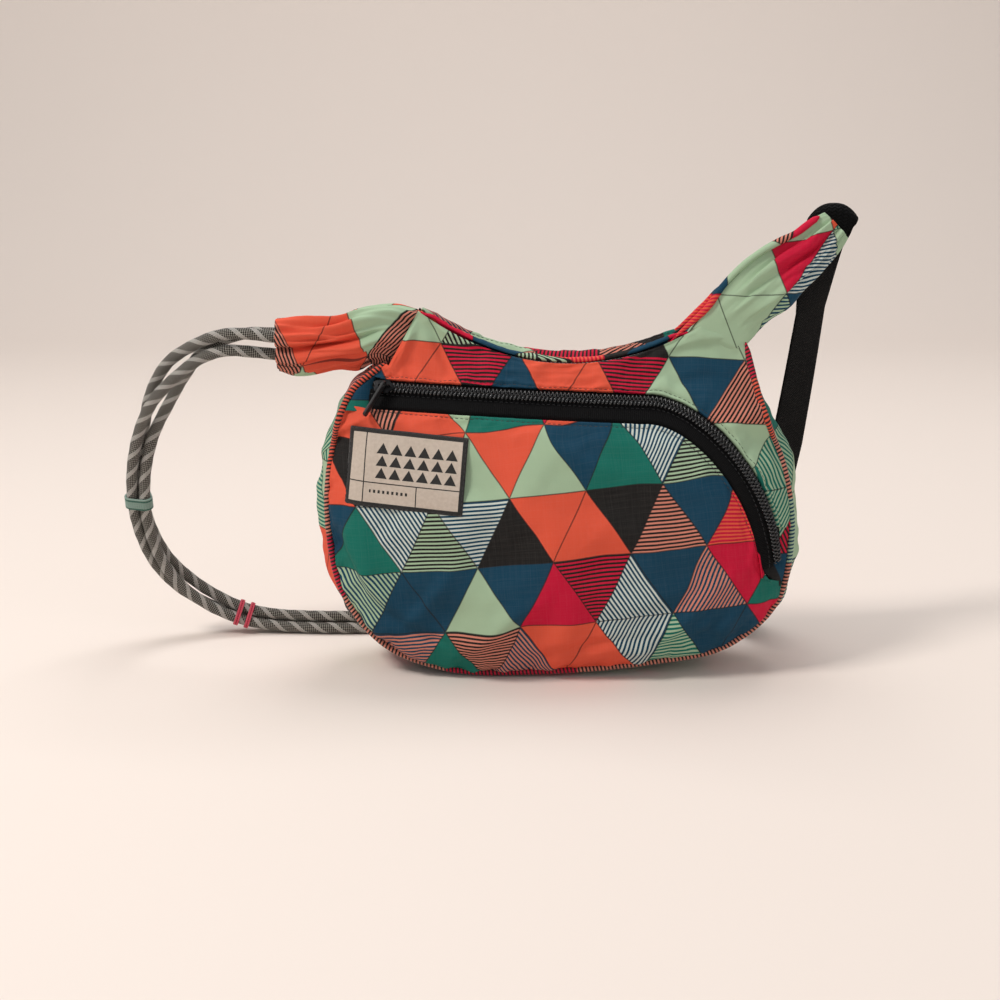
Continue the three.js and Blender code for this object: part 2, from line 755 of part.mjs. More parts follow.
const hangingPull = tab(PULL_LENGTH, PULL_WIDTH, PULL_THICKNESS, eye)
  .translate(WIRE_RADIUS + 2 * CLEARANCE - EYE_RADIUS, 0, 0)
  .rotateX(Math.PI / 2)
  .rotateZ(Math.PI / 2 - PULL_LEAN)
  .translate(0, 0, plateTop + bailHeight);
add("pocket_zip_pull", place(hangingPull, pocketSliderFrame), TAPE_BLACK);

// The mouth's slider stands at the right end. Its pull lies along the zip, held by a cross bar
// that turns under the bail.
const mainSliderAt = MAIN_ZIP_REACH - (SLIDER_LENGTH / 2 + 2) / MOUTH_RADIUS;
const mainSliderFrame = mouthFrame(mainSliderAt);
add("main_zip_slider", place(sliderGeometry(), mainSliderFrame), COATED_METAL);
const FLAT_PULL_LENGTH = 22;
const FLAT_PULL_WIDTH = 6;
const FLAT_PULL_THICKNESS = 1.2;
function flatPull() {
  const window = new THREE.Path();
  const reach = bailHalf + bailHeight - 0.4;
  const half = WIRE_RADIUS + 0.7;
  window.moveTo(-reach, -half);
  window.lineTo(-reach, half);
  window.lineTo(-0.7, half);
  window.lineTo(-0.7, -half);
  window.closePath();
  const outline = new THREE.Shape();
  const side = FLAT_PULL_WIDTH / 2;
  const nose = 0.7;
  outline.moveTo(nose, -side);
  outline.lineTo(nose, side);
  outline.lineTo(-FLAT_PULL_LENGTH + side, side);
  outline.absarc(-FLAT_PULL_LENGTH + side, 0, side, 0.5 * Math.PI, 1.5 * Math.PI);
  outline.closePath();
  outline.holes.push(window);
  return new THREE.ExtrudeGeometry(outline, {
    depth: FLAT_PULL_THICKNESS,
    bevelEnabled: false,
    curveSegments: 6,
  }).translate(0, 0, plateTop + (bailHeight - FLAT_PULL_THICKNESS) / 2);
}
add("main_zip_pull", place(flatPull(), mainSliderFrame), COATED_METAL);

// Woven label, sewn on the pocket under the zip's left end and turned a little.
const labelCorner = new THREE.Vector2(-0.445 * BODY_WIDTH, 0.708 * BODY_HEIGHT);
const LABEL_TURN = degToRad(-4.5);
const labelAlong = new THREE.Vector2(1, 0).rotateAround(new THREE.Vector2(), LABEL_TURN);
const labelDown = new THREE.Vector2(0, -1).rotateAround(new THREE.Vector2(), LABEL_TURN);
const labelRows = 4;
const labelGrid = Array.from({ length: labelRows + 1 }, (_, i) =>
  line(7, (u) => {
    const q = labelCorner
      .clone()
      .addScaledVector(labelAlong, u * LABEL_WIDTH)
      .addScaledVector(labelDown, (i / labelRows) * LABEL_HEIGHT);
    return facePoint(q.x, q.y, FRONT, -LABEL_THICKNESS - 1.1);
  }),
);
add("label", clothSheet(labelGrid, LABEL_THICKNESS), LABEL_CREAM);

// Sleeves: cloth gathered round the strap's ends. Each station gives the top and the bottom of
// the sleeve in the plane y = 0, from the body outwards, and its half thickness.
const RING_POINTS = 14;
function sleeveRing([topX, topZ, bottomX, bottomZ, half], fold, scale = 1) {
  return Array.from({ length: RING_POINTS }, (_, k) => {
    const angle = (2 * Math.PI * k) / RING_POINTS;
    const up = Math.cos(angle) * scale;
    // A crease along the front parts the sleeve in two rolls.
    const crease = 1 - fold * Math.exp(-((up / 0.3) ** 2)) * (Math.sin(angle) > 0);
    return new THREE.Vector3(
      (topX + bottomX) / 2 + ((topX - bottomX) / 2) * up,
      -Math.sin(angle) * half * scale * crease,
      (topZ + bottomZ) / 2 + ((topZ - bottomZ) / 2) * up,
    );
  });
}
const leftCorner = lipPoint(mouthLeft);
const rightCorner = lipPoint(mouthRight);
const sleeveGap = 1;
const leftSleeve = [
  [leftCorner.x - sleeveGap, leftCorner.y + 0.5, seamTopLeft.x - 3, seamTopLeft.y + 3, 10],
  [leftCorner.x - 16, leftCorner.y + 4, seamTopLeft.x - 9, seamTopLeft.y + 5, 14],
  [leftCorner.x - 38, leftCorner.y + 1, seamTopLeft.x - 20, seamTopLeft.y - 1, 14],
  [leftCorner.x - 55, leftCorner.y - 4.5, seamTopLeft.x - 37, seamTopLeft.y - 3, 12.5],
  [leftCorner.x - 79, leftCorner.y - 4.5, seamTopLeft.x - 60, seamTopLeft.y - 7, 14],
  [leftCorner.x - 94, leftCorner.y - 5.5, seamTopLeft.x - 74, seamTopLeft.y - 4, 16.6],
];
const rightSleeve = [
  [rightCorner.x + 2.4, rightCorner.y + 1.6, seamTopRight.x + 3.6, seamTopRight.y + 2.6, 10],
  [rightCorner.x + 11, rightCorner.y + 22, seamTopRight.x + 18, seamTopRight.y + 11, 14],
  [rightCorner.x + 29, rightCorner.y + 39, seamTopRight.x + 32, seamTopRight.y + 21, 14.5],
  [rightCorner.x + 48, rightCorner.y + 51, seamTopRight.x + 43, seamTopRight.y + 35, 12.5],
  [rightCorner.x + 64, rightCorner.y + 59, seamTopRight.x + 54, seamTopRight.y + 47, 9.5],
  [rightCorner.x + 76, rightCorner.y + 67, seamTopRight.x + 64, seamTopRight.y + 62, 7.4],
  [rightCorner.x + 82, rightCorner.y + 70, seamTopRight.x + 68, seamTopRight.y + 69, 6],
];
function sleeve(stations, fold) {
  // More rings between the stations, on smooth lines through them.
  const steps = (stations.length - 1) * 2;
  const lines = [0, 1, 2, 3, 4].map(
    (k) =>
      new THREE.CatmullRomCurve3(
        stations.map((s, i) => new THREE.Vector3(i, s[k], 0)),
        false,
        "catmullrom",
      ),
  );
  return line(steps, (u) =>
    sleeveRing(
      lines.map((curve) => curve.getPoint(u).y),
      fold,
    ),
  );
}
const leftMouth = leftSleeve.at(-1);
const RECESS = 9; // the ropes go this far into the sleeve
const recess = loft([
  sleeveRing(leftMouth, 0, 0.86).map((p) => p.setX(p.x + RECESS)),
  sleeveRing(leftMouth, 0, 0.86).map((p) => p.setX(p.x - RECESS)),
]);
add("left_sleeve", printed(cut(loft(sleeve(leftSleeve, 0.2)), recess)), PRINTED_CLOTH);
add("right_sleeve", printed(loft(sleeve(rightSleeve, 0.14))), PRINTED_CLOTH);

// Ropes: three strands round one line, chosen by hand. Each point has x, y, z, the strands'
// distance from the line and how far the trio has turned, in degrees.
const ROPE_LINE = [
  [-180, -1, 220.5, 8.6, 90],
  [-192, -1, 221.5, 8.4, 90],
  [-207, 0, 222.5, 8, 96],
  [-223, 1, 221, 6.4, 112],
  [-240, 3, 214, 5.8, 134],
  [-257, 6, 200, 8.2, 162],
  [-271, 9, 181, 8.2, 188],
  [-281, 13, 159, 6, 212],
  [-288, 18, 133, 5.2, 232],
  [-290.5, 24, 107, 4.95, 248],
  [-288.5, 32, 82, 5.1, 264],
  [-281, 40, 58, 5.6, 282],
  [-267, 47, 38, 6.2, 300],
  [-248, 52, 23, 5.7, 316],
  [-227, 55, 13, 5, 328],
  [-205, 56, 8.2, 4.95, 330],
  [-183, 55.5, 6.9, 4.95, 330],
  [-160, 54.5, 6.8, 4.95, 330],
  [-137, 55.5, 6.8, 4.95, 330],
  [-117, 60.5, 6.8, 4.95, 330],
  [-104, 63.2, 6.8, 4.95, 330],
  [-94, 63.5, 6.8, 4.95, 330],
];
const STRANDS = 3;
const ropeCentre = new THREE.CatmullRomCurve3(
  ROPE_LINE.map(([x, y, z]) => new THREE.Vector3(x, y, z)),
  false,
  "centripetal",
);
function ropeFrame(i) {
  const along = ropeCentre.getTangent(i / (ROPE_LINE.length - 1));
  const side = new THREE.Vector3(0, 1, 0);
  side.addScaledVector(along, -along.y).normalize();
  return { p: ropeCentre.points[i], along, side, up: side.clone().cross(along) };
}
function strandPoints(strand) {
  return ROPE_LINE.map(([, , , spread, turn], i) => {
    const { p, side, up } = ropeFrame(i);
    const angle = degToRad(turn + (360 / STRANDS) * strand);
    return p
      .clone()
      .addScaledVector(side, spread * Math.cos(angle))
      .addScaledVector(up, -spread * Math.sin(angle));
  });
}
for (let strand = 0; strand < STRANDS; strand++)
  add(
    `rope_${strand + 1}`,
    tube(strandPoints(strand), ROPE_DIAMETER / 2, 8, 28),
    ROPE_GREY,
  );

// Thread whippings hold the strands together.
function whipping(index, length) {
  const inner = ROPE_LINE[index][3] + ROPE_DIAMETER / 2 + 3 * CLEARANCE;
  const outer = inner + 1;
  const ring = new THREE.LatheGeometry(
    [
      [inner, -length / 2],
      [outer, -length / 2],
      [outer, length / 2],
      [inner, length / 2],
      [inner, -length / 2],
    ].map(([r, h]) => new THREE.Vector2(r, h)),
    20,
  );
  const { p, along, side, up } = ropeFrame(index);
  return ring.applyMatrix4(
    new THREE.Matrix4().makeBasis(side, along, up).setPosition(p),
  );
}
add("green_whipping", whipping(9, 10), WHIPPING_GREEN);
add("red_whipping", whipping(14, 12), WHIPPING_RED);

// Behind the bag the ropes end in a sewn webbing loop, which holds a wire ring.
const strapY = ROPE_LINE.at(-1)[1];
const loopStart = ROPE_LINE.at(-1)[0] + 2 * CLEARANCE;
const ringWire = 1.6;
const ringGap = 13; // between the middles of the ring's two long wires
const ringZ = 7.4;
const loopEyeX = loopStart + 33;
const loopEye = ringWire + 0.7;
function loopOutline() {
  const outer = loopEye + WEBBING_THICKNESS;
  const outline = new THREE.Shape();
  outline.moveTo(loopStart, ringZ - outer - 2.6);
  outline.lineTo(loopStart + 24, ringZ - outer - 2.6);
  outline.lineTo(loopEyeX, ringZ - outer);
  outline.absarc(loopEyeX, ringZ, outer, -0.5 * Math.PI, 0.5 * Math.PI);
  outline.lineTo(loopStart + 24, ringZ + outer + 2.6);
  outline.lineTo(loopStart, ringZ + outer + 2.6);
  outline.closePath();
  outline.holes.push(
    new THREE.Path().absarc(loopEyeX, ringZ, loopEye, 0, 2 * Math.PI, true),
  );
  return outline;
}
// Extrudes an outline drawn in (x, z) across the strap, about the strap's middle.
function acrossStrap(outline, width, segments = 6) {
  return new THREE.ExtrudeGeometry(outline, {
    depth: width,
    bevelEnabled: false,
    curveSegments: segments,
  })
    .rotateX(Math.PI / 2)
    .translate(0, strapY + width / 2, 0);
}
const LOOP_WIDTH = 34;
add("rope_end_loop", acrossStrap(loopOutline(), LOOP_WIDTH), TAPE_BLACK);

const railGap = 0.8; // webbing's edge to a rail beside it
function ring() {
  const half = WEBBING_WIDTH / 2 + railGap + ringWire;
  const left = loopEyeX;
  const right = loopEyeX + ringGap;
  const corners = [
    [left, -half],
    [right, -half],
    [right, half],
    [left, half],
  ].map(([x, y]) => new THREE.Vector3(x, strapY + y, ringZ));
  const wires = corners.map((from, i) => {
    const to = corners[(i + 1) % corners.length];
    const reach = to.clone().sub(from).normalize().multiplyScalar(ringWire * 0.6);
    return tube([from.clone().sub(reach), to.clone().add(reach)], ringWire, 8, 1);
  });
  return join(...wires);
}
add("strap_ring", ring(), COATED_METAL);

// Webbing: over the ring's far wire, flat along the floor behind the bag, up to the right
// sleeve, over its tip and down to where it is sewn on. Each point has x, y, z and the
// direction of the webbing's width, in degrees from the X axis.
const turnRadius = ringWire + 0.6 + WEBBING_THICKNESS / 2;
const ringFarX = loopEyeX + ringGap;
const standingZ = ringZ - turnRadius;
const tailZ = ringZ + turnRadius;
const tailStart = ringFarX + 5;
const WEBBING_LINE = [
  [30, 63.5, standingZ, 90],
  [70, 63.5, standingZ, 90],
  [104, 63.5, standingZ, 90],
  [126, 63.5, 5.6, 89],
  [140, 62, 13, 85],
  [147.5, 60, 28, 76],
  [152, 54.5, 58, 62],
  [156.5, 51, 98, 50],
  [161.5, 46, 140, 44],
  [167, 39.5, 190, 47],
  [171.5, 32.5, 238, 50],
  [175.5, 26, 280, 32],
  [178, 22.5, 299, 12],
  [179.5, 19.5, 307, 4],
  [180, 15, 310, 2],
  [180, 11, 307, 2],
  [179.6, 9.6, 300, 2],
  [178.5, 9.4, 289, 2],
];
function turnOverRing() {
  const steps = 8;
  return line(steps, (u) => {
    const angle = lerp(0.5 * Math.PI, 1.5 * Math.PI, u);
    return [
      ringFarX + turnRadius * Math.cos(angle),
      strapY,
      ringZ + turnRadius * Math.sin(angle),
      90,
    ];
  });
}
function webbingFrames(stations, count) {
  const curve = new THREE.CatmullRomCurve3(
    stations.map(([x, y, z]) => new THREE.Vector3(x, y, z)),
    false,
    "centripetal",
  );
  return line(count, (u) => {
    const at = u * (stations.length - 1);
    const i = Math.min(Math.floor(at), stations.length - 2);
    const angle = degToRad(lerp(stations[i][3], stations[i + 1][3], at - i));
    const along = curve.getTangent(u);
    const side = new THREE.Vector3(Math.cos(angle), Math.sin(angle), 0);
    side.addScaledVector(along, -side.dot(along)).normalize();
    return { p: curve.getPoint(u), side, up: side.clone().cross(along) };
  });
}
const webbingStations = [
  [tailStart - CLEARANCE, strapY, tailZ, 90],
  ...turnOverRing(),
  [ringFarX + 12, strapY, standingZ, 90],
  ...WEBBING_LINE,
];
const WEBBING_STEPS = 40;
const halfWebbing = WEBBING_WIDTH / 2;
const halfThick = WEBBING_THICKNESS / 2;
const webbingOutline = [-1, -1 / 3, 1 / 3, 1].map((across) => [
  across * halfWebbing,
  halfThick * (Math.abs(across) < 1 ? 1 : WEBBING_EDGE),
]);
const webbingSection = [
  ...webbingOutline.map(([across, thick]) => [across, -thick]),
  ...webbingOutline.toReversed(),
];
add(
  "webbing_strap",
  loft(
    webbingFrames(webbingStations, WEBBING_STEPS).map(({ p, side, up }) =>
      webbingSection.map(([across, out]) =>
        p.clone().addScaledVector(side, across).addScaledVector(up, out),
      ),
    ),
  ),
  TAPE_BLACK,
);

// The adjuster is a frame with two end bars under the standing webbing and a middle bar over
// it. The webbing's tail is sewn round the middle bar.
const adjusterX = 8;
const ADJUSTER_HALF = 12;
const BAR = 2.4;
const RAIL = 3;
const middleBarZ =
  standingZ + halfThick + 2 * CLEARANCE + WEBBING_THICKNESS + BAR / 2;
function adjuster() {
  const inner = halfWebbing + railGap;
  const endTop = standingZ - halfThick - CLEARANCE;
  const endBottom = 0.3;
  const top = middleBarZ + BAR / 2;
  const across = [strapY - inner - 0.5, strapY + inner + 0.5];
  const rails = [-1, 1].map((hand) =>
    box(
      adjusterX - ADJUSTER_HALF,
      adjusterX + ADJUSTER_HALF,
      strapY + hand * inner - (hand < 0 ? RAIL : 0),
      strapY + hand * inner + (hand > 0 ? RAIL : 0),
      endBottom,
      top,
    ),
  );
  const ends = [-1, 1].map((hand) => {
    const x = adjusterX + hand * (ADJUSTER_HALF - BAR / 2);
    return box(x - BAR / 2, x + BAR / 2, ...across, endBottom, endTop);
  });
  const middle = box(
    adjusterX - BAR / 2,
    adjusterX + BAR / 2,
    ...across,
    middleBarZ - BAR / 2,
    top,
  );
  return join(...rails, ...ends, middle);
}
add("strap_adjuster", adjuster(), PLASTIC_BLACK);

function tailOutline() {
  const hole = BAR / Math.SQRT2 + CLEARANCE;
  const outer = hole + WEBBING_THICKNESS - 0.3;
  const outline = new THREE.Shape();
  const low = tailZ - halfThick;
  const high = tailZ + halfThick;
  const meet = (z) => Math.asin(THREE.MathUtils.clamp((z - middleBarZ) / outer, -1, 1));
  outline.moveTo(tailStart, low);
  outline.lineTo(adjusterX - outer * Math.cos(meet(low)), low);
  outline.absarc(
    adjusterX,
    middleBarZ,
    outer,
    Math.PI - meet(low),
    2 * Math.PI + Math.PI - meet(high),
  );
  outline.lineTo(tailStart, high);
  outline.closePath();
  outline.holes.push(
    new THREE.Path().absarc(adjusterX, middleBarZ, hole, 0, 2 * Math.PI, true),
  );
  return outline;
}
add("webbing_tail", acrossStrap(tailOutline(), WEBBING_WIDTH, 8), TAPE_BLACK);

export default bag;
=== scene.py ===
"""A crossbody sling bag in printed ripstop cloth, with two zips, three ropes and a webbing strap."""

from __future__ import annotations

import logging
import math
from dataclasses import dataclass, field
from enum import Enum
from functools import cached_property
from typing import Any, Sequence

import bpy
import numpy as np
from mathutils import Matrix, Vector


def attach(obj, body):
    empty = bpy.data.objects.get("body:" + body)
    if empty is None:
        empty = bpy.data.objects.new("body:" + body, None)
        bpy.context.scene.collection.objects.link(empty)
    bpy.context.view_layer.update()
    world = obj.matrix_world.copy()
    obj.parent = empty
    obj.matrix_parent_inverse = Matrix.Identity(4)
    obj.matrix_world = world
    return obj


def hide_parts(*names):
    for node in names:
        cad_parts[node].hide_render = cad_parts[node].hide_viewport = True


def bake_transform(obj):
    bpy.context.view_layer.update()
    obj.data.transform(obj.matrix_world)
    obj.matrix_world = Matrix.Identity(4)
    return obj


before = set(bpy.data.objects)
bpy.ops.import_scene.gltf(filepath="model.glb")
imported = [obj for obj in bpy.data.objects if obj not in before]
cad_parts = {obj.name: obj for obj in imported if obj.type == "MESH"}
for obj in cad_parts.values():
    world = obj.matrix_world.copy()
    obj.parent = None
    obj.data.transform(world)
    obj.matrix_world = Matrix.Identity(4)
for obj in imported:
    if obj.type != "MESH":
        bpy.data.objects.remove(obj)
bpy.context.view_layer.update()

Array = np.ndarray
log = logging.getLogger("sling_bag")
MM = 0.001
FRONT = -1.0
BACK = 1.0
EDGES = ("top", "bottom", "left", "right")
DEPTHWISE = np.array([0.0, 1.0, 0.0])
STITCH_PITCH = 3.4


# Numbers and lines.


def unit(v: Array) -> Array:
    """Vectors scaled to length 1, along the last axis."""
    return v / np.maximum(np.linalg.norm(v, axis=-1, keepdims=True), 1e-12)


def run_along(points: Array) -> Array:
    """The length travelled at each point of a line."""
    return np.concatenate([[0.0], np.cumsum(np.linalg.norm(np.diff(points, axis=0), axis=1))])


def smooth_step(value: Array, low: float, high: float) -> Array:
    """A smooth rise from 0 at low to 1 at high."""
    t = np.clip((np.asarray(value, float) - low) / (high - low), 0, 1)
    return t * t * (3 - 2 * t)


def soft_min(a: Array, b: Array, soft: float) -> Array:
    """The smaller of two values, with a rounded change from one to the other."""
    h = np.maximum(soft - np.abs(a - b), 0) / soft
    return np.minimum(a, b) - h * h * soft / 4


def soft_max(a: Array, b: Array, soft: float) -> Array:
    """The larger of two values, with a rounded change from one to the other."""
    return -soft_min(-np.asarray(a), -np.asarray(b), soft)


def smooth_line(points: Sequence[Sequence[float]], steps: int = 24, even: bool = False) -> Array:
    """Points on a smooth curve through the given ones.

    Args:
        points: What the curve runs through.
        steps: Points made for each stretch.
        even: Whether each stretch counts the same, whatever its length.
    Returns:
        An array with one row for each point.
    """
    given = np.asarray(points, float)
    p = np.vstack([2 * given[0] - given[1], given, 2 * given[-1] - given[-2]])
    w = (np.arange(steps) / steps)[:, None]
    out = []
    for p0, p1, p2, p3 in zip(p, p[1:], p[2:], p[3:]):
        if even:
            t1, t2 = (p2 - p0) / 2, (p3 - p1) / 2
        else:
            d0, d1, d2 = (
                max(float(np.dot(b - a, b - a)) ** 0.25, 1e-4)
                for a, b in ((p0, p1), (p1, p2), (p2, p3))
            )
            t1 = ((p1 - p0) / d0 - (p2 - p0) / (d0 + d1) + (p2 - p1) / d1) * d1
            t2 = ((p2 - p1) / d1 - (p3 - p1) / (d1 + d2) + (p3 - p2) / d2) * d1
        bend = -3 * p1 + 3 * p2 - 2 * t1 - t2
        out.append(p1 + t1 * w + bend * w**2 + (2 * p1 - 2 * p2 + t1 + t2) * w**3)
    out.append(given[-1:])
    return np.vstack(out)


class Line:
    """A dense line of points that is read by shares of its length."""

    def __init__(self, points: Array) -> None:
        """Measures the line once."""
        self.points = np.asarray(points, float)
        self.lengths = run_along(self.points)

    @property
    def length(self) -> float:
        """The line's whole length."""
        return float(self.lengths[-1])

    def at(self, share: Array) -> Array:
        """Points at shares 0 to 1 of the length."""
        far = np.clip(share, 0, 1) * self.length
        return np.stack([np.interp(far, self.lengths, axis) for axis in self.points.T], axis=-1)

    def ahead(self, share: Array) -> Array:
        """Unit directions of travel at shares 0 to 1 of the length."""
        reach = 0.6 / self.length
        share = np.asarray(share, float)
        return unit(self.at(share + reach) - self.at(share - reach))

    def beside(self, offset: Array | float, share: Array) -> Array:
        """Points at a distance to the left of a flat line."""
        here, ahead = self.at(share), self.ahead(share)
        return here + np.asarray(offset)[..., None] * np.stack([-ahead[..., 1], ahead[..., 0]], -1)


class Ripple:
    """Smooth seeded noise over the plane, between -1 and 1."""

    SIZE = 128

    def __init__(self, seed: int) -> None:
        """Fills the noise's table."""
        self.table = np.random.default_rng(seed).uniform(-1, 1, (self.SIZE, self.SIZE))

    def at(self, x: Array, y: Array) -> Array:
        """Reads the noise at points whose lattice has a spacing of 1.

        Args:
            x: Their first coordinate.
            y: Their second coordinate.
        Returns:
            The noise at each.
        """
        x, y = np.broadcast_arrays(np.asarray(x, float), np.asarray(y, float))
        i, j = np.floor(x).astype(int), np.floor(y).astype(int)
        fx, fy = x - i, y - j
        fx, fy = fx * fx * (3 - 2 * fx), fy * fy * (3 - 2 * fy)
        last = self.SIZE - 1

        def corner(a: Array, b: Array) -> Array:
            """The table's value at lattice points."""
            return self.table[a & last, b & last]

        low = corner(i, j) * (1 - fx) + corner(i + 1, j) * fx
        high = corner(i, j + 1) * (1 - fx) + corner(i + 1, j + 1) * fx
        return low * (1 - fy) + high * fy

    def rough(self, x: Array, y: Array, octaves: int = 3) -> Array:
        """The noise with finer noise on top."""
        return sum(
            self.at(x * 2.1**k + 17 * k, y * 2.1**k + 5 * k) * 0.5**k for k in range(octaves)
        )


def near_line(x: Array, z: Array, line: Array) -> tuple[Array, Array, Array]:
    """Finds how points lie to a line in their plane.

    Args:
        x: The points' first coordinate.
        z: The points' second coordinate.
        line: The line's points, two numbers each.
    Returns:
        The distance, the share of the line's length at the nearest place, and the side, 1 or -1.
    """
    shape = np.shape(x)
    p = np.stack([np.ravel(x), np.ravel(z)], -1)
    best = np.full(len(p), np.inf)
    share, hand = np.zeros(len(p)), np.ones(len(p))
    steps = np.diff(line, axis=0)
    lengths = np.linalg.norm(steps, axis=1)
    before = run_along(line)
    for a, step, size, start in zip(line, steps, lengths, before):
        rel = p - a
        t = np.clip(rel @ step / size**2, 0, 1)
        off = rel - t[:, None] * step
        far = np.hypot(off[:, 0], off[:, 1])
        closer = far < best
        best = np.where(closer, far, best)
        share = np.where(closer, (start + t * size) / before[-1], share)
        side = np.sign(step[0] * rel[:, 1] - step[1] * rel[:, 0])
        hand = np.where(closer, side, hand)
    return best.reshape(shape), share.reshape(shape), hand.reshape(shape)


# The bag's form.


@dataclass(frozen=True)
class BodyForm:
    """The stuffed body, in millimetres: its seam, its mouth and its front and back faces."""

    width: float = 308.0
    height: float = 240.0
    belly_front: float = 57.0
    belly_back: float = 46.0
    lip_depth: float = 18.0
    corner_depth: float = 9.0
    lip_slope: float = 0.55
    face_radius: float = 900.0
    roll_depth: float = 17.0
    roll_width: float = 28.0
    gusset_bulge: float = 9.0
    piping_radius: float = 2.2
    seam_gap: float = 0.5
    mouth_dip: float = 30.0
    mouth_radius: float = 165.0
    lip_inset: float = 0.8
    cloth_ease: float = 1.02
    seam_shape: tuple[tuple[float, float], ...] = (
        (-0.373, 0.871),
        (-0.45, 0.788),
        (-0.494, 0.604),
        (-0.5, 0.417),
        (-0.47, 0.229),
        (-0.383, 0.087),
        (-0.243, 0.021),
        (-0.032, 0.018),
        (0.195, 0.042),
        (0.364, 0.083),
        (0.471, 0.2),
        (0.5, 0.383),
        (0.481, 0.583),
        (0.429, 0.75),
        (0.394, 0.925),
    )

    @cached_property
    def seam(self) -> Line:
        """The seam line in (x, z), from the left sleeve round the base to the right one."""
        shape = np.array(self.seam_shape) * [self.width, self.height]
        return Line(smooth_line(shape, 30))

    @cached_property
    def seam_points(self) -> Array:
        """Evenly spaced points of the seam line."""
        return self.seam.at(np.linspace(0, 1, 161))

    @property
    def seam_inset(self) -> float:
        """The seam line to a panel's edge."""
        return self.piping_radius + self.seam_gap

    @property
    def mouth_x(self) -> float:
        """The mouth arc's middle."""
        return 0.02 * self.width

    @property
    def mouth_z(self) -> float:
        """The mouth's lowest point."""
        return self.height - self.mouth_dip

    @property
    def mouth_left(self) -> float:
        """The angle of the mouth's left corner."""
        return math.asin((-0.302 * self.width - self.mouth_x) / self.mouth_radius)

    @property
    def mouth_right(self) -> float:
        """The angle of the mouth's right corner."""
        return math.asin((0.296 * self.width - self.mouth_x) / self.mouth_radius)

    def mouth_point(self, angle: Array, radius: Array) -> Array:
        """Points (x, z) on an arc about the mouth's centre."""
        centre = self.mouth_z + self.mouth_radius
        x = self.mouth_x + radius * np.sin(angle)
        return np.stack(np.broadcast_arrays(x, centre - radius * np.cos(angle)), -1)

    def lip_point(self, angle: Array) -> Array:
        """Points (x, z) on the panels' top edge."""
        return self.mouth_point(angle, self.mouth_radius + self.lip_inset)

    def beside_seam(self, offset: Array, share: Array) -> Array:
        """Points (x, z) at a distance inside the seam line."""
        return self.seam.beside(offset, share)

    def seam_end(self, share: float) -> Array:
        """The corner of a panel at an end of the seam line, 0 or 1."""
        return self.beside_seam(np.array(self.seam_inset + 0.5), np.array(share))

    def share_near(self, x: float, z: float) -> float:
        """The share of the seam line next to a point."""
        far = np.hypot(*(self.seam_points - [x, z]).T)
        return float(np.argmin(far)) / (len(self.seam_points) - 1)

    @cached_property
    def upper_span(self) -> tuple[float, float]:
        """Shares of the seam line where the upper front panel starts and ends."""
        w, h = self.width, self.height
        return self.share_near(-0.4 * w, 0.842 * h), self.share_near(0.5 * w, 0.42 * h)

    @cached_property
    def pocket_span(self) -> tuple[float, float]:
        """Shares of the seam line where the pocket starts and ends."""
        w, h = self.width, self.height
        return self.share_near(-0.46 * w, 0.76 * h), self.share_near(0.49 * w, 0.26 * h)

    def depth(self, x: Array, z: Array, belly: float) -> Array:
        """Finds how far a face lies from the bag's mid plane.

        Args:
            x: Places across the bag.
            z: Their heights.
            belly: How far the face stands out at its fullest.
        Returns:
            The distance at each place.
        """
        slope = self.lip_depth + self.lip_slope * (self.mouth_z - z)
        profile = soft_max(soft_min(belly, slope, 24), self.corner_depth + 3, 8)
        turn = np.maximum(1 - near_line(x, z, self.seam_points)[0] / self.roll_width, 0)
        low = 1 - smooth_step(
            z, self.mouth_z - 2 * self.roll_width, self.mouth_z - 1.2 * self.roll_width
        )
        round_back = profile - x * x / (2 * self.face_radius)
        return soft_max(round_back, self.corner_depth, 6) - self.roll_depth * turn**2 * low

    def belly(self, side: float) -> float:
        """How far a face stands out at its fullest."""
        return self.belly_front if side == FRONT else self.belly_back

    def face(self, flat: Array, side: float, sunk: Array | float = 0.0) -> Array:
        """Points on the front or the back face.

        Args:
            flat: The places (x, z), along the last axis.
            side: FRONT or BACK.
            sunk: How far under the face, along its normal.
        Returns:
            The points (x, y, z).
        """
        x, z = flat[..., 0], flat[..., 1]
        belly, step = self.belly(side), 0.5
        depth = self.depth(x, z, belly)
        out = unit(
            np.stack(
                [
                    (depth - self.depth(x + step, z, belly)) / step,
                    np.full_like(depth, side),
                    (depth - self.depth(x, z + step, belly)) / step,
                ],
                -1,
            )
        )
        return np.stack([x, side * depth, z], -1) - np.asarray(sunk)[..., None] * out

    @cached_property
    def girth(self) -> tuple[Array, Array]:
        """Heights, and the cloth's length up the front from the base to each."""
        z = np.linspace(-20, 320, 400)
        y = self.depth(0 * z, z, self.belly_front)
        steps = np.hypot(np.diff(z), np.diff(y))
        return z, np.concatenate([[0], np.cumsum(steps)])

    def cloth_place(self, x: Array, z: Array) -> Array:
        """The places on the flat cloth of places (x, z) on a face."""
        heights, up = self.girth
        return np.stack([x * self.cloth_ease, np.interp(z, heights, up)], -1)


@dataclass(frozen=True)
class Fold:
    """A crease or roll of the cloth along a line of (x, z) places on a face."""

    route: tuple[tuple[float, float], ...]
    height: float
    width: float
    lean: float = 0.0

    def lift(self, x: Array, z: Array) -> Array:
        """Finds how far the fold lifts the cloth.

        Args:
            x: Places across the bag.
            z: Their heights.
        Returns:
            The lift at each place.
        """
        line = smooth_line(self.route, 8) if len(self.route) > 2 else np.array(self.route)
        far, share, hand = near_line(x, z, line)
        width = self.width * (1 + self.lean * hand)
        ends = np.sin(np.pi * np.clip(share, 0, 1)) ** 0.7
        return self.height * np.exp(-((far / width) ** 2)) * ends


# Meshes.


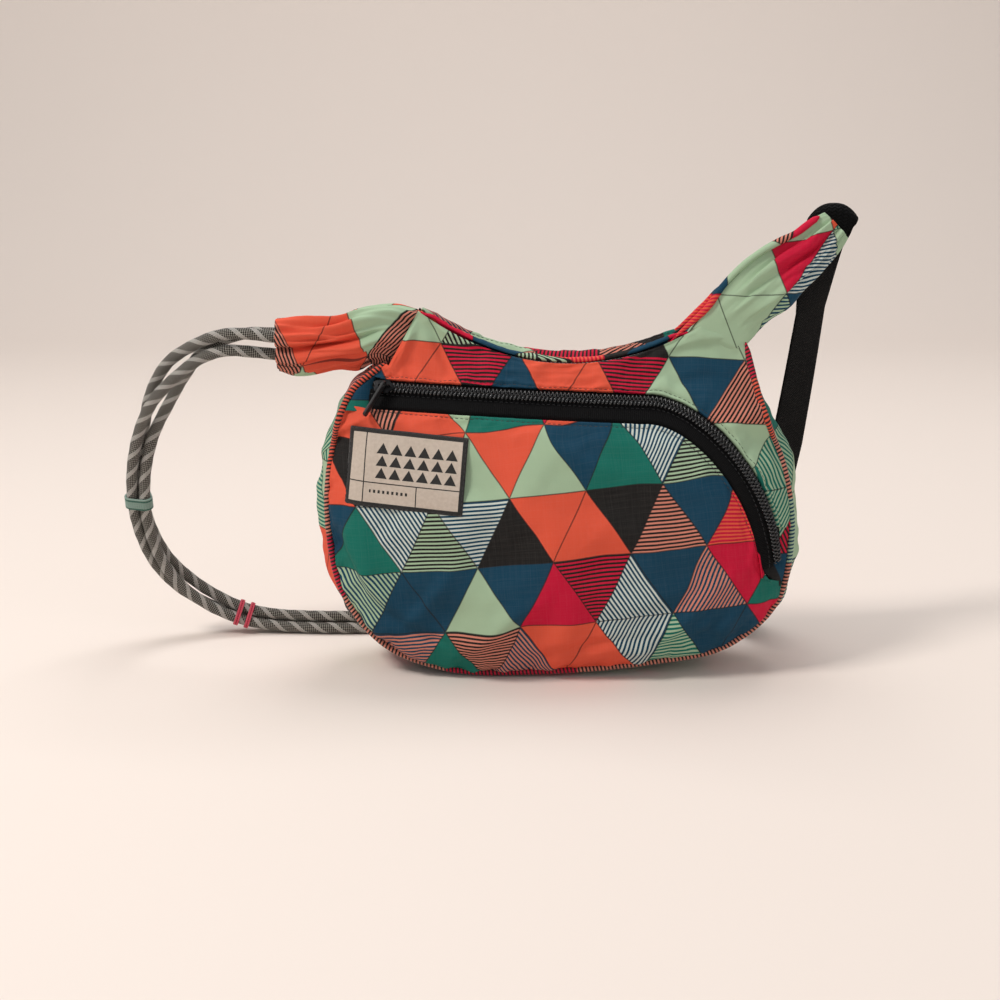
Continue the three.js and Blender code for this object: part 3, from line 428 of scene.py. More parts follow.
def new_piece(name: str, points: Array, faces: Sequence[Sequence[int]]) -> bpy.types.Object:
    """Makes a smooth-shaded mesh object from millimetres.

    Args:
        name: The piece's name.
        points: Its vertices, in millimetres.
        faces: Its faces.
    Returns:
        The object, linked to the scene.
    """
    mesh = bpy.data.meshes.new(name)
    mesh.from_pydata((np.asarray(points) * MM).tolist(), [], faces)
    mesh.polygons.foreach_set("use_smooth", [True] * len(mesh.polygons))
    mesh.update()
    piece = bpy.data.objects.new(name, mesh)
    bpy.context.scene.collection.objects.link(piece)
    return piece


def set_places(piece: bpy.types.Object, name: str, values: Array, domain: str = "POINT") -> None:
    """Stores three numbers for each vertex or face corner, for the finish to read."""
    layer = piece.data.attributes.new(name, "FLOAT_VECTOR", domain)
    layer.data.foreach_set("vector", np.asarray(values, np.float32).ravel())


def quads(*corners: Array) -> Array:
    """Faces from four arrays of corners."""
    return np.stack([x.ravel() for x in corners], -1)


def tube_faces(count: int, sides: int) -> tuple[Array, Array, Array]:
    """Makes the faces round a tube of rings.

    Args:
        count: How many rings there are.
        sides: How many points a ring has.
    Returns:
        The faces, and the ring and the place on it of each one's first corner.
    """
    i, j = (x.ravel() for x in np.meshgrid(np.arange(count - 1), np.arange(sides), indexing="ij"))
    nxt = (j + 1) % sides
    return quads(i * sides + j, i * sides + nxt, (i + 1) * sides + nxt, (i + 1) * sides + j), i, j


def cap_faces(count: int, sides: int) -> list[list[int]]:
    """The faces that close a tube's two ends."""
    return [list(reversed(range(sides))), [(count - 1) * sides + k for k in range(sides)]]


def in_print(flat: Array, turn: float, shift: tuple[float, float], seed: int) -> Array:
    """Places in the print, with its seed, for places on the flat cloth."""
    u, v = flat[..., 0], flat[..., 1]
    c, s = math.cos(turn), math.sin(turn)
    seeds = np.full(u.shape, float(seed))
    return np.stack([c * u - s * v + shift[0], s * u + c * v + shift[1], seeds], -1)


def close_steps(count: int, closeness: float = 0.75) -> Array:
    """Shares 0 to 1 that lie closer together at both ends."""
    t = np.linspace(0, 1, count + 1)
    return t + closeness * (0.5 - 0.5 * np.cos(np.pi * t) - t)


def spread(field_: Array, rows: Array, columns: Array) -> Array:
    """Reads a coarse grid of vectors.

    Args:
        field_: The grid.
        rows: Shares of its rows, 0 to 1.
        columns: Shares of its columns.
    Returns:
        A grid with one vector for each row and column asked for.
    """
    r = rows * (field_.shape[0] - 1)
    c = columns * (field_.shape[1] - 1)
    i = np.minimum(r.astype(int), field_.shape[0] - 2)
    j = np.minimum(c.astype(int), field_.shape[1] - 2)
    fr, fc = (r - i)[:, None, None], (c - j)[None, :, None]
    fr, fc = fr * fr * (3 - 2 * fr), fc * fc * (3 - 2 * fc)
    top = field_[i][:, j] * (1 - fc) + field_[i][:, j + 1] * fc
    low = field_[i + 1][:, j] * (1 - fc) + field_[i + 1][:, j + 1] * fc
    return top * (1 - fr) + low * fr


def blurred(field_: Array, times: int) -> Array:
    """Smooths a grid of vectors over its neighbours.

    Args:
        field_: The grid.
        times: How often it is smoothed.
    Returns:
        The smooth grid.
    """
    for _ in range(times):
        for axis in (0, 1):
            padded = np.concatenate(
                [field_.take([0], axis), field_, field_.take([-1], axis)], axis
            )
            first = padded.take(range(0, field_.shape[axis]), axis)
            last = padded.take(range(2, field_.shape[axis] + 2), axis)
            field_ = (first + 2 * field_ + last) / 4
    return field_


@dataclass
class Cloth:
    """A sheet of cloth as a grid of points on its outer face, in millimetres."""

    points: Array
    inside: tuple[float, float, float] = (0.0, 0.0, 100.0)
    turn: float = 0.0
    shift: tuple[float, float] = (0.0, 0.0)
    seed: int = 0
    places: Array | None = None

    def __post_init__(self) -> None:
        """Keeps the grid as it was drawn, for distances to the edges."""
        self.drawn = self.points.copy()

    @cached_property
    def outward(self) -> Array:
        """Unit normals of the outer face as it was drawn, which point away from the inside."""
        along = np.gradient(self.drawn, axis=1)
        across = np.gradient(self.drawn, axis=0)
        normal = unit(np.cross(along, across))
        middle = tuple(n // 2 for n in normal.shape[:2])
        away = self.drawn[middle] - np.array(self.inside)
        return normal if np.dot(normal[middle], away) > 0 else -normal

    def run(self, axis: int) -> Array:
        """Lengths on the cloth from the first row or column."""
        steps = np.linalg.norm(np.diff(self.drawn, axis=axis), axis=-1)
        first = np.zeros_like(steps.take([0], axis))
        return np.concatenate([first, np.cumsum(steps, axis)], axis)

    def edge(self, name: str) -> tuple[Array, Array]:
        """Measures the cloth from one of its edges.

        Args:
            name: One of EDGES.
        Returns:
            Each point's distance from the edge, and its place along it.
        """
        axis = 0 if name in ("top", "bottom") else 1
        run, along = self.run(axis), self.run(1 - axis)
        if name in ("bottom", "right"):
            run = run.take([-1], axis) - run
        at_edge = along.take([0 if name in ("top", "left") else -1], axis)
        return run, np.broadcast_to(at_edge, run.shape)

    def raise_by(self, height: Array) -> None:
        """Moves the face out by a height for each point."""
        self.points = self.points + self.outward * height[..., None]

    def pucker(self, name: str, height: float, pitch: float, reach: float, seed: int) -> None:
        """Gathers the cloth into ripples that start at an edge.

        Args:
            name: One of EDGES.
            height: How high they are.
            pitch: How far apart they lie.
            reach: How far in from the edge they fade.
            seed: Chooses the ripples.
        """
        far, along = self.edge(name)
        ripple = Ripple(seed)
        wave = ripple.at(along / pitch, far / (pitch * 5)) + 0.5 * ripple.at(
            along / pitch * 2.3 + 9, far / (pitch * 3)
        )
        start = smooth_step(far, 0.0, 3.0) * 0.7 + 0.3
        self.raise_by(height * wave * start * np.exp(-far / reach))

    def round_edge(self, name: str, radius: float = 1.6) -> None:
        """Turns the cloth's edge under."""
        far, _ = self.edge(name)
        short = np.clip(radius - far, 0, radius)
        self.raise_by(-(radius - np.sqrt(np.maximum(radius**2 - short**2, 0))))

    def groove(self, name: str, at: float, depth: float = 0.55, width: float = 1.0) -> None:
        """Presses a line of topstitching into the cloth."""
        far, along = self.edge(name)
        pull = 1 + 0.35 * np.cos(2 * np.pi * along / STITCH_PITCH)
        self.raise_by(-depth * pull * np.exp(-(((far - at) / width) ** 2)))

    def fold(self, folds: Sequence[Fold]) -> None:
        """Lays folds into the cloth."""
        lift = sum(f.lift(self.drawn[..., 0], self.drawn[..., 2]) for f in folds)
        self.raise_by(np.asarray(lift))

    def pull_print(self, far: float, pitch: float, reach: float, seed: int) -> None:
        """Shifts the print along the cloth near its edges, as gathered cloth carries it.

        Args:
            far: The most that the print moves.
            pitch: The size of its waves.
            reach: How far in from an edge they fade.
            seed: Chooses the waves.
        """
        flat = BODY.cloth_place(self.drawn[..., 0], self.drawn[..., 2])
        near = np.min([self.edge(name)[0] for name in EDGES], axis=0)
        amount = far * (0.2 + 0.8 * np.exp(-near / reach))
        x, y = flat[..., 0] / pitch, flat[..., 1] / pitch
        waves = [Ripple(seed + k).at(x, y) for k in (0, 1)]
        self.places = flat + np.stack([amount * wave for wave in waves], -1)

    def drape(self, rows: int, columns: int, slack: float, height: float, seed: int) -> None:
        """Lets the cloth buckle in a cloth simulation, held at all its edges.

        Args:
            rows: The simulated grid's rows.
            columns: The simulated grid's columns.
            slack: How much longer the cloth is than the face it covers.
            height: The most that a point may move.
            seed: Chooses the small bumps that the buckling starts from.
        """
        v, u = np.linspace(0, 1, rows), np.linspace(0, 1, columns)
        all_rows, all_columns = self.points.shape[:2]
        pick_r = np.round(v * (all_rows - 1)).astype(int)
        pick_c = np.round(u * (all_columns - 1)).astype(int)
        start = self.points[np.ix_(pick_r, pick_c)]
        start = start + self.outward[np.ix_(pick_r, pick_c)] * (
            1.6 * Ripple(seed).rough(u[None, :] * 16, v[:, None] * 9)[..., None]
        )
        moved = settle(start, slack) - start
        log.info("cloth settled by up to %.1f mm", float(np.abs(moved).max()))
        moved = moved - blurred(moved, 40)
        size = np.linalg.norm(moved, axis=-1, keepdims=True)
        moved = moved * height * np.tanh(size / height) / np.maximum(size, 1e-9)
        inner = v[:, None] * (1 - v[:, None]) * u[None, :] * (1 - u[None, :])
        moved = moved * smooth_step(inner, 0, 0.02)[..., None]
        fine = spread(moved, np.linspace(0, 1, all_rows), np.linspace(0, 1, all_columns))
        self.points = self.points + blurred(fine, 6)

    def line_at(self, name: str, far: float) -> tuple[Array, Array]:
        """Finds a line on the cloth.

        Args:
            name: One of EDGES.
            far: The line's distance from it.
        Returns:
            The line's points and their normals.
        """
        run, _ = self.edge(name)
        pick = np.argmin(np.abs(run - far), axis=0 if name in ("top", "bottom") else 1)
        if name in ("top", "bottom"):
            index = (pick, np.arange(len(pick)))
        else:
            index = (np.arange(len(pick)), pick)
        return self.points[index], self.outward[index]

    def piece(self, name: str, thickness: float) -> bpy.types.Object:
        """Makes the closed sheet.

        Args:
            name: The piece's name.
            thickness: The cloth's thickness.
        Returns:
            The object, with its cloth places stored for the finish.
        """
        rows, columns = self.points.shape[:2]
        inner = self.points - thickness * self.outward
        points = np.concatenate([self.points.reshape(-1, 3), inner.reshape(-1, 3)])
        # The outer face's points, and the inner face's under them.
        g = np.arange(rows * columns).reshape(rows, columns)
        h = g + rows * columns
        faces = np.concatenate(
            [
                quads(g[:-1, :-1], g[:-1, 1:], g[1:, 1:], g[1:, :-1]),
                quads(h[:-1, :-1], h[1:, :-1], h[1:, 1:], h[:-1, 1:]),
                quads(g[0, 1:], g[0, :-1], h[0, :-1], h[0, 1:]),
                quads(g[-1, :-1], g[-1, 1:], h[-1, 1:], h[-1, :-1]),
                quads(g[:-1, 0], g[1:, 0], h[1:, 0], h[:-1, 0]),
                quads(g[1:, -1], g[:-1, -1], h[:-1, -1], h[1:, -1]),
            ]
        )
        along, down = self.points[0, 1] - self.points[0, 0], self.points[1, 0] - self.points[0, 0]
        if np.dot(np.cross(along, down), self.outward[0, 0]) < 0:
            faces = faces[:, [0, 3, 2, 1]]
        piece = new_piece(name, points, faces.tolist())
        places = self.places
        if places is None:
            places = BODY.cloth_place(self.drawn[..., 0], self.drawn[..., 2])
        printed = in_print(places, self.turn, self.shift, self.seed).reshape(-1, 3)
        set_places(piece, "cloth_place", np.concatenate([printed, printed]))
        return piece


def settle(start: Array, slack: float) -> Array:
    """Runs Blender's cloth on a grid that is held at its edges.

    Args:
        start: The grid's points before it moves.
        slack: How much longer the cloth is than the grid.
    Returns:
        Its points where it comes to lie.
    """
    rows, columns = start.shape[:2]
    grid = np.arange(rows * columns).reshape(rows, columns)
    faces = quads(grid[:-1, :-1], grid[:-1, 1:], grid[1:, 1:], grid[1:, :-1])
    sheet = new_piece("settling", start.reshape(-1, 3), faces.tolist())
    held = np.zeros((rows, columns), bool)
    held[[0, -1], :] = held[:, [0, -1]] = True
    group = sheet.vertex_groups.new(name="held")
    group.add(grid[held].tolist(), 1.0, "REPLACE")
    cloth = sheet.modifiers.new("cloth", "CLOTH")
    cloth.settings.quality = 5
    cloth.settings.mass = 0.12
    cloth.settings.tension_stiffness = 25
    cloth.settings.compression_stiffness = 25
    cloth.settings.shear_stiffness = 8
    cloth.settings.bending_stiffness = 0.25
    cloth.settings.air_damping = 3
    cloth.settings.shrink_min = -slack
    cloth.settings.vertex_group_mass = "held"
    cloth.settings.effector_weights.gravity = 0
    cloth.collision_settings.use_collision = False
    scene = bpy.context.scene
    for number in range(1, 19):
        scene.frame_set(number)
    lying = sheet.evaluated_get(bpy.context.evaluated_depsgraph_get()).to_mesh()
    flat = np.empty(rows * columns * 3)
    lying.vertices.foreach_get("co", flat)
    mesh = sheet.data
    bpy.data.objects.remove(sheet)
    bpy.data.meshes.remove(mesh)
    scene.frame_set(1)
    return flat.reshape(rows, columns, 3) / MM


@dataclass
class Sweep:
    """A section carried along a path, in millimetres."""

    path: Array
    across: Array

    @property
    def frames(self) -> tuple[Array, Array]:
        """Directions across and up, for each point of the path."""
        ahead = unit(np.gradient(self.path, axis=0))
        across = np.broadcast_to(self.across, self.path.shape)
        across = unit(across - np.sum(across * ahead, -1, keepdims=True) * ahead)
        return across, np.cross(across, ahead)

    @property
    def run(self) -> Array:
        """The length travelled at each point."""
        return run_along(self.path)

    def piece(self, name: str, section: Array, turns: float = 0.0) -> bpy.types.Object:
        """Makes the closed mesh.

        Args:
            name: The piece's name.
            section: Points (across, up), one ring for all or one ring for each point.
            turns: How often the path winds round something, counted on the mesh for its finish.
        Returns:
            The object, whose corners know their share round it and their length along it.
        """
        across, up = self.frames
        count = len(self.path)
        rings = np.broadcast_to(section, (count, *np.shape(section)[-2:]))
        sides = rings.shape[1]
        points = (
            self.path[:, None]
            + rings[..., :1] * across[:, None]
            + rings[..., 1:] * up[:, None]
        ).reshape(-1, 3)
        run = self.run
        sheath, i, j = tube_faces(count, sides)
        corners = np.stack(
            [
                np.stack([(j + dj) / sides, run[i + di], turns * i / count], -1)
                for di, dj in ((0, 0), (1, 0), (1, 1), (0, 1))
            ],
            1,
        ).reshape(-1, 3)
        faces = sheath[:, [0, 3, 2, 1]].tolist() + [face[::-1] for face in cap_faces(count, sides)]
        caps = np.zeros((2 * sides, 3))
        caps[sides:, 1] = run[-1]
        piece = new_piece(name, points, faces)
        set_places(piece, "sheath_place", np.concatenate([corners, caps]), "CORNER")
        return piece


def round_section(radius: float, sides: int) -> Array:
    """A circle as points (across, up)."""
    angle = np.linspace(0, 2 * np.pi, sides, endpoint=False)
    return radius * np.stack([np.cos(angle), np.sin(angle)], -1)


def join_pieces(name: str, pieces: Sequence[bpy.types.Object]) -> bpy.types.Object:
    """Joins meshes into one object.

    Args:
        name: The name of the whole.
        pieces: The objects to join.
    Returns:
        The first of them, which holds them all.
    """
    with bpy.context.temp_override(
        active_object=pieces[0], object=pieces[0], selected_editable_objects=list(pieces)
    ):
        bpy.ops.object.join()
    pieces[0].name = name
    return pieces[0]


def stitches(name: str, points: Array, normals: Array, radius: float = 0.3) -> bpy.types.Object:
    """Sews a row of thread stitches.

    Args:
        name: The row's name.
        points: The line that the needle follows.
        normals: The way out of the cloth at each of them.
        radius: The thread's radius.
    Returns:
        The row as one object.
    """
    line = Line(points)
    count = max(int(line.length / STITCH_PITCH), 1)
    starts = (np.arange(count) + 0.15) / count
    reach = 0.72 / count
    knots = np.linspace(0, 1, len(points))
    lengths = line.lengths / line.length
    profile = [
        (0.0, 0.35, -0.75),
        (0.12, 0.9, -0.1),
        (0.5, 1.0, 0.35),
        (0.88, 0.9, -0.1),
        (1.0, 0.35, -0.75),
    ]
    sides = 6
    angle = np.linspace(0, 2 * np.pi, sides, endpoint=False)
    rings = []
    for share, fat, lift in profile:
        at = starts + share * reach
        p, ahead = line.at(at), line.ahead(at)
        row = np.interp(at, lengths, knots) * (len(points) - 1)
        i = np.minimum(row.astype(int), len(points) - 1)
        normal = unit(normals[i] - np.sum(normals[i] * ahead, -1, keepdims=True) * ahead)
        side = np.cross(normal, ahead)
        ring = (
            (p + normal * (lift * radius))[:, None]
            + fat * radius * np.cos(angle)[None, :, None] * side[:, None]
            + fat * radius * np.sin(angle)[None, :, None] * normal[:, None]
        )
        rings.append(ring)
    stitch_starts = np.arange(count) * (len(profile) * sides)
    one = tube_faces(len(profile), sides)[0]
    faces = (stitch_starts[:, None, None] + one).reshape(-1, 4).tolist()
    for first in stitch_starts.tolist():
        faces += [[first + k for k in face] for face in cap_faces(len(profile), sides)]
    return new_piece(name, np.stack(rings, 1).reshape(-1, 3), faces)


# Finishes.


def linear(colour: int) -> tuple[float, float, float, float]:
    """A display colour, 0xRRGGBB, as linear light."""
    parts = [((colour >> shift) & 255) / 255 for shift in (16, 8, 0)]
    light = [c / 12.92 if c <= 0.04045 else ((c + 0.055) / 1.055) ** 2.4 for c in parts]
    return (*light, 1.0)


class Ink(Enum):
    """The colours that the cloth is printed with."""

    CORAL = 0xE5593F
    CRIMSON = 0xCC0A38
    TEAL = 0x0B6E60
    MINT = 0xA9C3A2
    PETROL = 0x073F58
    CHARCOAL = 0x191818
    SALMON = 0xD68672
    CHALK = 0xCFD8D0


class Nodes:
    """A material's node tree, with short calls for the nodes that the finishes use."""

    def __init__(self, name: str) -> None:
        """Makes a material that holds a surface shader and its output.

        Args:
            name: The material's name.
        """
        self.material = bpy.data.materials.new(name)
        self.material.use_nodes = True
        self.tree = self.material.node_tree
        self.tree.nodes.clear()
        self.surface = self.tree.nodes.new("ShaderNodeBsdfPrincipled")
        output = self.tree.nodes.new("ShaderNodeOutputMaterial")
        self.tree.links.new(self.surface.outputs[0], output.inputs[0])

    def put(self, socket: bpy.types.NodeSocket, value: object) -> None:
        """Links a socket to another one, or sets its value."""
        if isinstance(value, bpy.types.NodeSocket):
            self.tree.links.new(value, socket)
        else:
            socket.default_value = value

    def node(
        self, kind: str, inputs: dict[str | int, object] | None = None, **settings: object
    ) -> bpy.types.Node:
        """Adds a node.

        Args:
            kind: Blender's name for it.
            inputs: A value or a socket for each of its inputs, by name or number.
            settings: Its other settings.
        Returns:
            The node.
        """
        node = self.tree.nodes.new(kind)
        for key, value in settings.items():
            setattr(node, key, value)
        for key, value in (inputs or {}).items():
            self.put(node.inputs[key], value)
        return node

    def sum(self, operation: str, *values: object) -> bpy.types.NodeSocket:
        """A Math node's result."""
        return self.node("ShaderNodeMath", dict(enumerate(values)), operation=operation).outputs[0]

    def place(self, name: str) -> tuple[bpy.types.NodeSocket, ...]:
        """The three numbers of a stored place."""
        read = self.node("ShaderNodeAttribute", attribute_name=name)
        split = self.node("ShaderNodeSeparateXYZ", {0: read.outputs["Vector"]})
        return tuple(split.outputs)

    def vector(self, *values: object) -> bpy.types.NodeSocket:
        """A vector from up to three numbers."""
        return self.node("ShaderNodeCombineXYZ", dict(enumerate(values))).outputs[0]

    def random(self, vector: bpy.types.NodeSocket) -> bpy.types.NodeSocket:
        """A random number, 0 to 1, for a vector."""
        noise = self.node("ShaderNodeTexWhiteNoise", {"Vector": vector}, noise_dimensions="3D")
        return noise.outputs["Value"]

    def noise(self, scale: float, detail: float = 2.0, vector: object = None) -> bpy.types.NodeSocket:
        """Soft noise, 0 to 1, over the object's own space."""
        where = vector or self.node("ShaderNodeTexCoord").outputs["Object"]
        inputs = {"Vector": where, "Scale": scale, "Detail": detail}
        return self.node("ShaderNodeTexNoise", inputs).outputs["Fac"]

    def mix(self, factor: object, first: object, second: object, how: str = "MIX") -> bpy.types.NodeSocket:
        """One colour blended over another."""
        inputs: dict[str | int, object] = {0: factor, 6: first, 7: second}
        return self.node("ShaderNodeMix", inputs, data_type="RGBA", blend_type=how).outputs[2]

    def tinted(self, colour: object, mask: object, amount: float, tint: int) -> bpy.types.NodeSocket:
        """A colour with an amount of another one over it, where a mask shows it."""
        return self.mix(self.sum("MULTIPLY", mask, amount), colour, linear(tint))

    def wave(self, value: object, pitch: float) -> bpy.types.NodeSocket:
        """A sine wave, -1 to 1, that repeats at a pitch."""
        return self.sum("SINE", self.sum("MULTIPLY", value, 2 * math.pi / pitch))

    def cycle(self, value: object, pitch: float) -> bpy.types.NodeSocket:
        """A rise from 0 to 1 that starts again at a pitch."""
        return self.sum("FRACT", self.sum("DIVIDE", value, pitch))

    def from_edge(self, value: object, size: float) -> bpy.types.NodeSocket:
        """The distance of a value from 0 or from a size, whichever is nearer."""
        return self.sum("MINIMUM", value, self.sum("SUBTRACT", size, value))

    def chosen(self, factor: bpy.types.NodeSocket, inks: Sequence[Ink]) -> bpy.types.NodeSocket:
        """Picks one of several inks, each for an equal share of a factor.

        Args:
            factor: A socket that gives 0 to 1.
            inks: The inks.
        Returns:
            The colour's socket.
        """
        ramp = self.node("ShaderNodeValToRGB", {"Fac": factor})
        ramp.color_ramp.interpolation = "CONSTANT"
        stops = ramp.color_ramp.elements
        while len(stops) < len(inks):
            stops.new(0.5)
        for i, ink in enumerate(inks):
            stops[i].position = i / len(inks)
            stops[i].color = linear(ink.value)
        return ramp.outputs["Color"]

    def bump(self, height: bpy.types.NodeSocket, strength: float, distance: float) -> None:
        """Raises the surface, on top of earlier bumps.

        Args:
            height: A socket that gives the height.
            strength: How strong the bump is.
            distance: Its full height in metres.
        """
        before = self.surface.inputs["Normal"].links
        inputs: dict[str | int, object] = {"Height": height, "Strength": strength, "Distance": distance}
        if before:
            inputs["Normal"] = before[0].from_socket
        node = self.node("ShaderNodeBump", inputs)
        self.put(self.surface.inputs["Normal"], node.outputs[0])

    def weave(self, u: object, v: object, pitch: float, strength: float) -> bpy.types.NodeSocket:
        """Raises crossing threads of a pitch in millimetres, and returns their height."""
        height = self.sum("MULTIPLY", self.wave(u, pitch), self.wave(v, pitch))
        self.bump(height, strength, 0.0002)
        return height

    def finish(
        self,
        colour: object,
        rough: object,
        sheen: float = 0.0,
        metal: float = 0.0,
        specular: float = 0.5,
    ) -> bpy.types.Material:
        """Sets the surface's colour and gloss.

        Args:
            colour: Its colour, or the socket that gives it.
            rough: Its roughness, or the socket that gives it.
            sheen: The weight of its sheen.
            metal: How metallic it is.
            specular: The level of its reflections.
        Returns:
            The finished material.
        """
        self.put(self.surface.inputs["Base Color"], colour)
        self.put(self.surface.inputs["Roughness"], rough)
        self.surface.inputs["Sheen Weight"].default_value = sheen
        self.surface.inputs["Sheen Roughness"].default_value = 0.45
        self.surface.inputs["Metallic"].default_value = metal
        self.surface.inputs["Specular IOR Level"].default_value = specular
        return self.material


@dataclass(frozen=True)
class PrintedCloth:
    """Ripstop cloth printed with triangles, some of them striped."""

    name: str = "printed_ripstop"
    side: float = 51.0
    stripes: int = 17
    striped_share: float = 0.34
    outline: float = 0.010
    ripstop: float = 4.4
    inks: tuple[Ink, ...] = (
        Ink.CRIMSON, Ink.PETROL, Ink.MINT, Ink.TEAL, Ink.MINT, Ink.CORAL, Ink.CHARCOAL,
        Ink.PETROL, Ink.TEAL, Ink.CRIMSON, Ink.MINT, Ink.CORAL,
    )
    first_stripe: tuple[Ink, ...] = (
        Ink.MINT, Ink.SALMON, Ink.CRIMSON, Ink.TEAL, Ink.MINT, Ink.CHALK, Ink.SALMON, Ink.CORAL,
    )
    second_stripe: tuple[Ink, ...] = (
        Ink.PETROL, Ink.CHARCOAL, Ink.CHARCOAL, Ink.MINT, Ink.CHARCOAL, Ink.PETROL, Ink.PETROL, Ink.CRIMSON,
    )

    def material(self) -> bpy.types.Material:
        """Builds the finish from the cloth's own places.

        Returns:
            The material.
        """
        n = Nodes(self.name)
        u, v, drawn = n.place("cloth_place")
        seed = n.sum("ROUND", drawn)
        rise = self.side * math.sin(math.pi / 3)
        row = n.sum("DIVIDE", v, rise)
        skew = n.sum("SUBTRACT", n.sum("DIVIDE", u, self.side), n.sum("MULTIPLY", row, 0.5))
        i, j = n.sum("FLOOR", skew), n.sum("FLOOR", row)
        fi, fj = n.sum("SUBTRACT", skew, i), n.sum("SUBTRACT", row, j)
        both = n.sum("ADD", fi, fj)
        upper = n.sum("GREATER_THAN", both, 1.0)
        third = n.sum("ADD", n.sum("MULTIPLY", upper, 2.37), n.sum("MULTIPLY", seed, 7.13))
        cell = n.vector(n.sum("ADD", i, 0.5), n.sum("ADD", j, 0.5), third)
        pick = n.random(cell)
        again = n.random(n.vector(n.sum("ADD", j, 11.5), n.sum("ADD", i, 3.5), n.sum("ADD", third, 4.7)))
        kind = n.random(n.vector(n.sum("ADD", i, 29.5), third, n.sum("ADD", j, 41.5)))
        plain = n.chosen(pick, self.inks)
        # Stripes run along one of the triangle's three sides.
        slant = n.sum("ADD", skew, row)
        by_row = n.sum("LESS_THAN", again, 0.4)
        by_slant = n.sum("GREATER_THAN", again, 0.7)
        to_row = n.sum("SUBTRACT", row, skew)
        to_slant = n.sum("SUBTRACT", slant, skew)
        steps = n.sum("MULTIPLY", n.sum("MULTIPLY_ADD", by_row, to_row, skew), self.stripes)
        steps = n.sum("MULTIPLY_ADD", by_slant, n.sum("MULTIPLY", to_slant, self.stripes), steps)
        band = n.sum("GREATER_THAN", n.sum("FRACT", steps), 0.5)
        pair = n.sum("FRACT", n.sum("MULTIPLY", again, 13.7))
        lined = n.mix(band, n.chosen(pair, self.first_stripe), n.chosen(pair, self.second_stripe))
        striped = n.sum("LESS_THAN", kind, self.striped_share)
        colour = n.mix(striped, plain, lined)
        # A dark line along most of the triangles' sides.
        near = n.sum("MINIMUM", n.from_edge(fj, 1.0), n.from_edge(fi, 1.0))
        near = n.sum("MINIMUM", near, n.sum("ABSOLUTE", n.sum("SUBTRACT", 1.0, both)))
        thin = n.sum("LESS_THAN", near, self.outline)
        colour = n.tinted(colour, thin, 0.7, Ink.CHARCOAL.value)
        # Ripstop grid, uneven threads, and slow fading of the ink.
        grid_u = n.sum("LESS_THAN", n.cycle(u, self.ripstop), 0.13)
        grid_v = n.sum("LESS_THAN", n.cycle(v, self.ripstop), 0.13)
        grid = n.sum("MAXIMUM", grid_u, grid_v)
        colour = n.tinted(colour, grid, 0.006, 0xE6DDD6)
        warp = n.noise(1.0, 2.0, n.vector(n.sum("MULTIPLY", u, 1.6), n.sum("MULTIPLY", v, 0.05), seed))
        weft = n.noise(1.0, 2.0, n.vector(n.sum("MULTIPLY", u, 0.05), n.sum("MULTIPLY", v, 1.6), seed))
        threads = n.sum("MULTIPLY", warp, weft)
        colour = n.tinted(colour, threads, 0.05, 0xF0E8E0)
        fade = n.noise(26.0, 4.0)
        colour = n.tinted(colour, fade, 0.16, 0x171513)
        n.weave(u, v, 0.9, 0.10)
        n.bump(grid, 0.08, 0.0002)
        n.bump(threads, 0.3, 0.0003)
        n.bump(n.noise(120.0, 4.0), 0.3, 0.0008)
        rough = n.sum("MULTIPLY_ADD", fade, 0.16, 0.50)
        return n.finish(colour, rough, specular=0.06)


@dataclass(frozen=True)
class Ribbed:
    """Black woven tape or webbing with ribs across it."""

    name: str
    colour: int = 0x0B0B0C
    pitch: float = 1.3
    chevron: float = 0.0
    strength: float = 0.5

    def material(self) -> bpy.types.Material:
        """Builds ribs from the places on the tape, with painted shade in their troughs and painted light on
        their crests.

        Returns:
            The material.
        """
        n = Nodes(self.name)
        u, v, _ = n.place("cloth_place")
        bent = n.sum("ABSOLUTE", n.sum("SUBTRACT", n.cycle(v, 4.0), 0.5))
        rib = n.wave(n.sum("MULTIPLY_ADD", bent, self.chevron, u), self.pitch)
        cross = n.wave(v, self.pitch * 0.7)
        height = n.sum("MULTIPLY_ADD", cross, 0.35, rib)
        n.bump(height, self.strength, 0.0003)
        # Painted shade: the ribs' troughs are darker and their crests lighter, following the bump's height.
        painted_relief_shade = n.sum("MULTIPLY_ADD", rib, 0.5, 0.5)
        worn = n.noise(320.0, 3.0)
        colour = n.mix(painted_relief_shade, linear(self.colour), linear(self.colour + 0x070707))
        colour = n.tinted(colour, worn, 0.25, 0x050506)
        return n.finish(colour, n.sum("MULTIPLY_ADD", worn, 0.2, 0.65), specular=0.1)


@dataclass(frozen=True)
class PlainWeave:
    """One-coloured cloth with a visible weave."""

    name: str
    colour: int
    light: int
    pitch: float = 0.9

    def material(self) -> bpy.types.Material:
        """Builds the weave from the cloth's own places, with painted shade between the threads and painted
        light on their crests.

        Returns:
            The material.
        """
        n = Nodes(self.name)
        u, v, _ = n.place("cloth_place")
        height = n.weave(u, v, self.pitch, 0.4)
        # Painted shade: the weave is darker where its threads dip and lighter on their crests.
        painted_relief_shade = n.sum("MULTIPLY_ADD", height, 0.4, 0.5)
        cloudy = n.noise(60.0, 4.0)
        colour = n.mix(painted_relief_shade, linear(self.colour), linear(self.light))
        colour = n.tinted(colour, cloudy, 0.2, self.light)
        return n.finish(colour, n.sum("MULTIPLY_ADD", cloudy, 0.15, 0.72), sheen=0.15)


